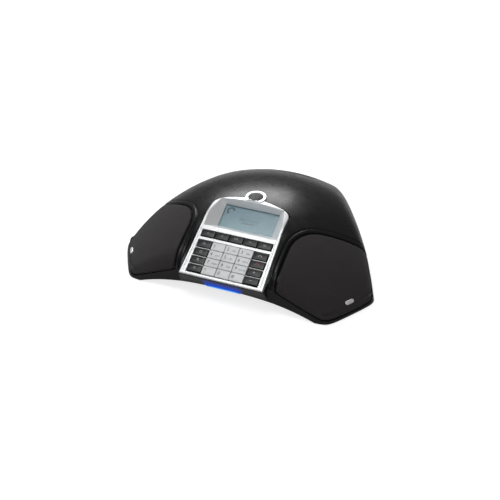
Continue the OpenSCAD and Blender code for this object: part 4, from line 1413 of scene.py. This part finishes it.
@dataclass(frozen=True)
class KeyCap:
    """One key: a crowned cap with rolled edges and a stem."""

    node: str
    x: float
    u: float
    width: float
    length: float
    kind: KeyKind
    crown_r: float
    marks: tuple[Mark, ...]
    corner_r: float = 0.55
    edge_r: float = 0.4
    columns: int = 88

    def outline(self, inset: Array) -> Array:
        """Rounded rectangles, each inset from the cap's outline.

        Arcs of four corners are joined by straight runs; a point's place is the corner's centre plus
        its radius along the bearing.

        Args:
            inset: distance from the outline, one for each row.

        Returns:
            X and U from the key's middle, rows by columns by two.
        """
        quarter = self.columns // 4
        arc = (np.arange(quarter) / (quarter - 1.0) * QUARTER + np.arange(4)[:, None] * QUARTER).reshape(1, -1)
        a, b = self.width / 2.0 - inset[:, None], self.length / 2.0 - inset[:, None]
        r = np.minimum(np.maximum(self.corner_r - inset[:, None] * 0.5, 0.2), np.minimum(a, b))
        sx = np.repeat([1.0, -1.0, -1.0, 1.0], quarter)
        su = np.repeat([1.0, 1.0, -1.0, -1.0], quarter)
        return np.stack([sx * (a - r) + r * np.cos(arc), su * (b - r) + r * np.sin(arc)], axis=-1)

    def top(self, x: Array, u: Array) -> Array:
        """Height of the crowned top: two shallow parabolas."""
        return -x * x / (2.0 * self.crown_r) - u * u / 60.0

    def build(self, looks: Finishes) -> None:
        """Makes the cap: rows run from its middle over the rolled edge and down its sides.

        Args:
            looks: the finishes.
        """
        limit, arc = min(self.width, self.length) / 2.0, np.linspace(0.0, QUARTER, 6)
        inset = np.concatenate([np.linspace(limit - 0.02, self.edge_r + 0.1, 7), self.edge_r * (1.0 - np.sin(arc)),
                                [0.0, 0.0]])
        drop = np.concatenate([np.zeros(7), self.edge_r * (1.0 - np.cos(arc)), [1.6, CAP_T]])
        plan = self.outline(inset)
        level = self.top(plan[..., 0], plan[..., 1]) * (drop[:, None] < CAP_T) - drop[:, None]
        piece = Piece(self.node.replace("_key", "_cap"), f"{self.node}_body")
        piece.patch(on_slope(self.x + plan[..., 0], self.u + plan[..., 1], level),
                    on_slope(self.x, self.u, -2.0), wrap=True, caps=(True, True))
        turn = np.linspace(0.0, FULL_TURN, 20, endpoint=False)[None, :]
        rise = np.array([-CAP_T + 0.05, -STEM_END + 0.2, -STEM_END])[:, None]
        reach = np.array([STEM_D / 2, STEM_D / 2, STEM_D / 2 - 0.2])[:, None]
        piece.patch(on_slope(self.x + reach * np.cos(turn), self.u + reach * np.sin(turn), rise),
                    on_slope(self.x, self.u, -5.0), wrap=True, caps=(False, True))
        piece.finish(looks, self.kind.value, [self.node])

    def print(self, looks: Finishes, ink: str) -> None:
        """Prints the legends: flat letters laid on the crowned top.

        Args:
            looks: the finishes.
            ink: which finish the print has.
        """
        piece = Piece(self.node.replace("_key", "_legend"), f"{self.node}_body")
        for mark in self.marks:
            flat, faces = mark.polygons()
            x, u = flat[:, 0] + mark.x, flat[:, 1] + mark.u
            piece.facets(on_slope(self.x + x, self.u + u, self.top(x, u) + 0.03), faces)
        piece.finish(looks, self.kind.value, ink=ink)


@dataclass
class Keypad(SubAssembly):
    """All the keys: five for navigation, four on each side, and the twelve of the number block."""

    digits: str = "123456789*0#"
    names: tuple[str, ...] = ("1", "2", "3", "4", "5", "6", "7", "8", "9", "star", "0", "hash")
    letters: tuple[str, ...] = ("", "ABC", "DEF", "GHI", "JKL", "MNO", "PQRS", "TUV", "WXYZ", "", "", "")
    nav: tuple[str, ...] = ("C", "<up>", "OK", "<down>", "<list>")
    left: tuple[str, ...] = ("<list>", "<card>", "<mute>", "<hold>")
    right: tuple[str, ...] = ("<handset>", "<handset>", "<plus>", "<dash>")
    end_call: str = "right_key_2"

    def caps(self) -> Iterable[KeyCap]:
        """Works out every cap's place from the pitches.

        Returns:
            The caps.
        """
        for i, text in enumerate(self.nav):
            yield KeyCap(f"nav_key_{i + 1}", (i - 2) * NAV_PITCH, NAV_U + NAV_H / 2, NAV_PITCH - KEY_GAP, NAV_H,
                         KeyKind.BLACK, 60.0, (Mark(text, 0.0, 0.0, 1.8),))
        for hand, side, texts in ((-1, "left", self.left), (1, "right", self.right)):
            for row, text in enumerate(texts):
                yield KeyCap(f"{side}_key_{row + 1}", hand * (BLOCK_HALF - SIDE_W / 2), (3.5 - row) * ROW,
                             SIDE_W - KEY_GAP, ROW - 0.7 - KEY_GAP, KeyKind.BLACK, 60.0,
                             (Mark(text, 0.0, 0.0, 1.7),))
        for i, (digit, name, small) in enumerate(zip(self.digits, self.names, self.letters)):
            marks = (Mark(digit, -3.3, 0.0, 3.0),) + ((Mark(small, 2.3, -0.6, 1.45),) if small else ())
            yield KeyCap(f"number_key_{name}", (i % 3 - 1) * COLUMN, (3.5 - i // 3) * ROW, COLUMN - KEY_GAP,
                         ROW - KEY_GAP, KeyKind.GREY, 40.0, marks)

    def build(self) -> None:
        """Makes every cap and its legend, which is red on the key that ends a call."""
        for cap in self.caps():
            pale = "red_print" if cap.node == self.end_call else "pale_print"
            cap.build(self.looks)
            cap.print(self.looks, "dark_print" if cap.kind is KeyKind.GREY else pale)


# ---------------------------------------------------------------- display, lights and badges


@dataclass
class DisplayPicture(SubAssembly):
    """What the display shows: a handset sign in the corner and two short rows of digits."""

    lift: float = 0.06
    marks: tuple[Mark, ...] = (Mark("<receiver>", -19.8, 7.0, 4.0), Mark("24.11 10:45", 0.0, 0.4, 2.6),
                               Mark("01234567", 0.0, -3.0, 2.1))

    def build(self) -> None:
        """Lays flat marks on the face of the liquid crystal, under the window."""
        piece = Piece("display_marks")
        for mark in self.marks:
            flat, faces = mark.polygons()
            piece.facets(on_slope(flat[:, 0] + mark.x, DISPLAY_U + flat[:, 1] + mark.u,
                                  self.lift - WINDOW_TOP - 1.2), faces)
        piece.finish(self.looks, "display_glass", ink="pixel_print")


@dataclass
class StatusLight(SubAssembly):
    """Frosted bars set into the case: one in the chin below the keys, one over each rear arch."""

    half: float = 16.5
    tall: float = 5.2
    chin_h: float = -13.4
    arch_z: float = 19.3
    proud: float = 0.25
    columns: int = 96

    def bar(self, piece: Piece, foot: Callable[[Array, Array], Array], heading: Array) -> None:
        """Adds one bar: a grid with rounded ends, cast on to the case and raised by a pillow profile.

        Args:
            piece: where it goes.
            foot: gives each grid point's origin inside the case.
            heading: the unit direction out of the case.
        """
        s = np.linspace(-1.0, 1.0, self.columns)[None, :]
        v = np.sin(np.linspace(-QUARTER, QUARTER, 17))[:, None]
        s, v = np.broadcast_arrays(s, v)
        past = np.maximum((np.abs(s) * self.half - (self.half - self.tall / 2)) / (self.tall / 2), 0.0)
        end = np.sqrt(np.clip(1.0 - past ** 2, 0.0004, 1.0))
        lift = self.proud - (self.proud + 0.5) * np.maximum(np.abs(v) ** 8, (1.0 - end) ** 2)
        origin = foot(s * self.half, v * end * self.tall / 2)
        place = cast(lambda p: self.form.whole(p) - lift, origin, np.broadcast_to(heading, origin.shape), 80.0)
        piece.patch(place, origin.reshape(-1, 3).mean(axis=0), uv=np.stack([s, (v + 1.0) / 2.0], axis=-1))

    def build(self) -> None:
        """Makes the three bars."""
        piece = Piece("light_bars")
        front = unit(on_slope(0.0, -1.0, 0.0) - on_slope(0.0, 0.0, 0.0))
        self.bar(piece, lambda a, b: on_slope(a, 8.0, self.chin_h + b), front)
        for s, c in map(bearing, SIDES[1:]):
            self.bar(piece, lambda a, b: stack(s * 60.0 + a * c, -c * 60.0 + a * s, self.arch_z + b),
                     np.array([s, -c, 0.0]))
        piece.finish(self.looks, "blue_light", ["status_lights"])


@dataclass
class LegBadges(SubAssembly):
    """Bare pill-shaped badges set into the cloth near the three leg ends."""

    reach: float = 117.2
    z: float = 11.2
    half: float = 4.4
    wide: float = 3.5
    proud: float = 0.55

    def build(self) -> None:
        """Makes the badges: rings of a pill's outline, cast on to the leg and raised by a quarter round."""
        turns, arc = np.linspace(0.0, FULL_TURN, 72, endpoint=False)[None, :], np.linspace(0.0, QUARTER, 7)
        step = np.concatenate([[[1.0, -0.8]],
                               np.stack([1.0 - 0.2 * (1.0 - np.cos(arc)), self.proud * np.sin(arc)], -1),
                               [[0.5, self.proud + 0.05], [0.02, self.proud + 0.08]]])
        size, lift = step[:, :1] * self.wide / 2, step[:, 1:]
        straight = (self.half - self.wide / 2) * np.minimum(1.0, np.abs(np.cos(turns)) * 9.0)
        side, rise = np.sign(np.cos(turns)) * straight + size * np.cos(turns), size * np.sin(turns)
        out, z = self.reach - 20.0 - rise * 0.77, self.z - 16.0 + rise * 0.63
        piece = Piece("leg_badges")
        for s, c in map(bearing, LEGS):
            origin = stack(out * c - side * s, out * s + side * c, z)
            heading = np.broadcast_to(unit(np.array([c * 0.78, s * 0.78, 0.63])), origin.shape)
            place = cast(lambda p: self.form.plain(p) - lift, origin, heading, 60.0)
            piece.patch(place, origin.reshape(-1, 3).mean(axis=0), wrap=True, caps=(False, True))
        piece.finish(self.looks, "badge_chrome", ["leg_badges"])


# ---------------------------------------------------------------- studio


@dataclass
class Studio:
    """White sweep, soft lamps and the camera."""

    azimuth: float = 22.71
    elevation: float = 32.76
    distance: float = 852.0
    lens: float = 69.0
    shift: tuple[float, float] = (-10.86, -27.81)
    aim_z: float = 35.0
    floor_reach: float = 6.0
    floor_z: float = -0.0002

    def camera(self) -> None:
        """Sets the camera: its frame's axes come from azimuth and elevation, its place from the shift."""
        (sa, ca), (se, ce) = bearing(self.azimuth), bearing(self.elevation)
        back, right = np.array([sa * ce, -ca * ce, se]), np.array([ca, sa, 0.0])
        up = np.cross(back, right)
        place = np.array([0.0, SHIFT_Y, self.aim_z]) + right * self.shift[0] + up * self.shift[1]
        data = bpy.data.cameras.new("camera")
        data.lens, data.sensor_width, data.sensor_fit = self.lens, 36.0, "HORIZONTAL"
        data.clip_start, data.clip_end = 0.05, 30.0
        camera = bpy.data.objects.new("camera", data)
        frame_axes = np.stack([right, up, back, (place + back * self.distance) * MM], axis=1)
        camera.matrix_world = Matrix([*frame_axes.tolist(), [0.0, 0.0, 0.0, 1.0]])
        bpy.context.scene.collection.objects.link(camera)
        bpy.context.scene.camera = camera

    def lamp(self, name: str, place: Colour, aim: Colour, size: tuple[float, float], power: float) -> None:
        """Adds a soft box.

        Args:
            name: its name.
            place: where it hangs, in metres.
            aim: the point that it faces.
            size: its sides.
            power: its power in watts.
        """
        data = bpy.data.lights.new(name, "AREA")
        data.shape, data.size, data.size_y, data.energy = "RECTANGLE", size[0], size[1], power
        lamp = bpy.data.objects.new(name, data)
        lamp.location = place
        lamp.rotation_euler = (Vector(aim) - Vector(place)).to_track_quat("-Z", "Y").to_euler()
        bpy.context.scene.collection.objects.link(lamp)

    def seen(self, g: Graph, glossy: float) -> Value:
        """1 on rays from the camera, straight or through the window, and a share on glossy rays."""
        path = {name: Value(g, socket) for name, socket in g.node("LightPath").outputs.items()}
        return path["Is Camera Ray"] + path["Is Glossy Ray"] * glossy + path["Is Transmission Ray"]

    def floor(self) -> None:
        """Lays a wide white floor that shows white to the camera and keeps the phone's shadow."""
        mesh = bpy.data.meshes.new("floor")
        corners = [(x * self.floor_reach, y * self.floor_reach, self.floor_z)
                   for x, y in ((-1, -1), (1, -1), (1, 1), (-1, 1))]
        mesh.from_pydata(corners, [], [(0, 1, 2, 3)])
        floor = bpy.data.objects.new("floor", mesh)
        bpy.context.scene.collection.objects.link(floor)
        g = Graph(bpy.data.materials.new("floor_white"))
        g.wire(Base_Color=g.mix(g.noise(40.0), (0.36, 0.36, 0.36), (0.38, 0.38, 0.38)), Roughness=0.9,
               Emission_Color=g.mix(self.seen(g, 0.25), (0.0, 0.0, 0.0), (0.76, 0.76, 0.76)),
               Emission_Strength=1.0)
        mesh.materials.append(g.owner)

    def world(self) -> None:
        """Sets an even white surround: full white to the camera, dimmer as a light."""
        world = bpy.data.worlds.new("surround")
        g = Graph(world, "Background", "OutputWorld")
        g.wire(Strength=g.node("MapRange", {}, {0: self.seen(g, 0.15), 3: 0.12, 4: 1.0}).outputs[0])
        bpy.context.scene.world = world

    def build(self) -> None:
        """Clears the start-up objects and builds the whole studio."""
        for name in {"Cube", "Light", "Camera"} & set(bpy.data.objects.keys()):
            bpy.data.objects.remove(bpy.data.objects[name])
        self.camera()
        self.floor()
        self.world()
        self.lamp("back_box", (-0.42, 0.85, 0.85), (0.0, -0.02, 0.05), (0.7, 0.45), 9.0)
        self.lamp("top_box", (-0.2, -0.45, 1.35), (0.0, 0.0, 0.0), (0.8, 0.6), 9.0)
        self.lamp("left_box", (-1.2, -0.4, 0.8), (0.0, 0.0, 0.03), (0.5, 0.7), 4.0)
        self.lamp("front_box", (0.75, -1.2, 1.0), (0.0, 0.0, 0.02), (0.9, 0.6), 6.5)
        bpy.context.scene.view_settings.view_transform = "Standard"


def main() -> None:
    """Builds the studio, the finishes and every piece in order."""
    logging.basicConfig(level=logging.INFO, format="%(name)s: %(message)s")
    Studio().build()
    looks = Finishes()
    looks.dress()
    form = BodyForm()
    CaseSkin(form, looks).build()
    for name, plan in PANELS.items():
        PanelTrim(form, looks, name, plan).build()
        ClothPanel(form, looks, name, plan).build()
    for part in (Bezel, CrownMicrophone, Keypad, DisplayPicture, StatusLight, LegBadges):
        part(form, looks).build()


if __name__ == "__main__":
    main()
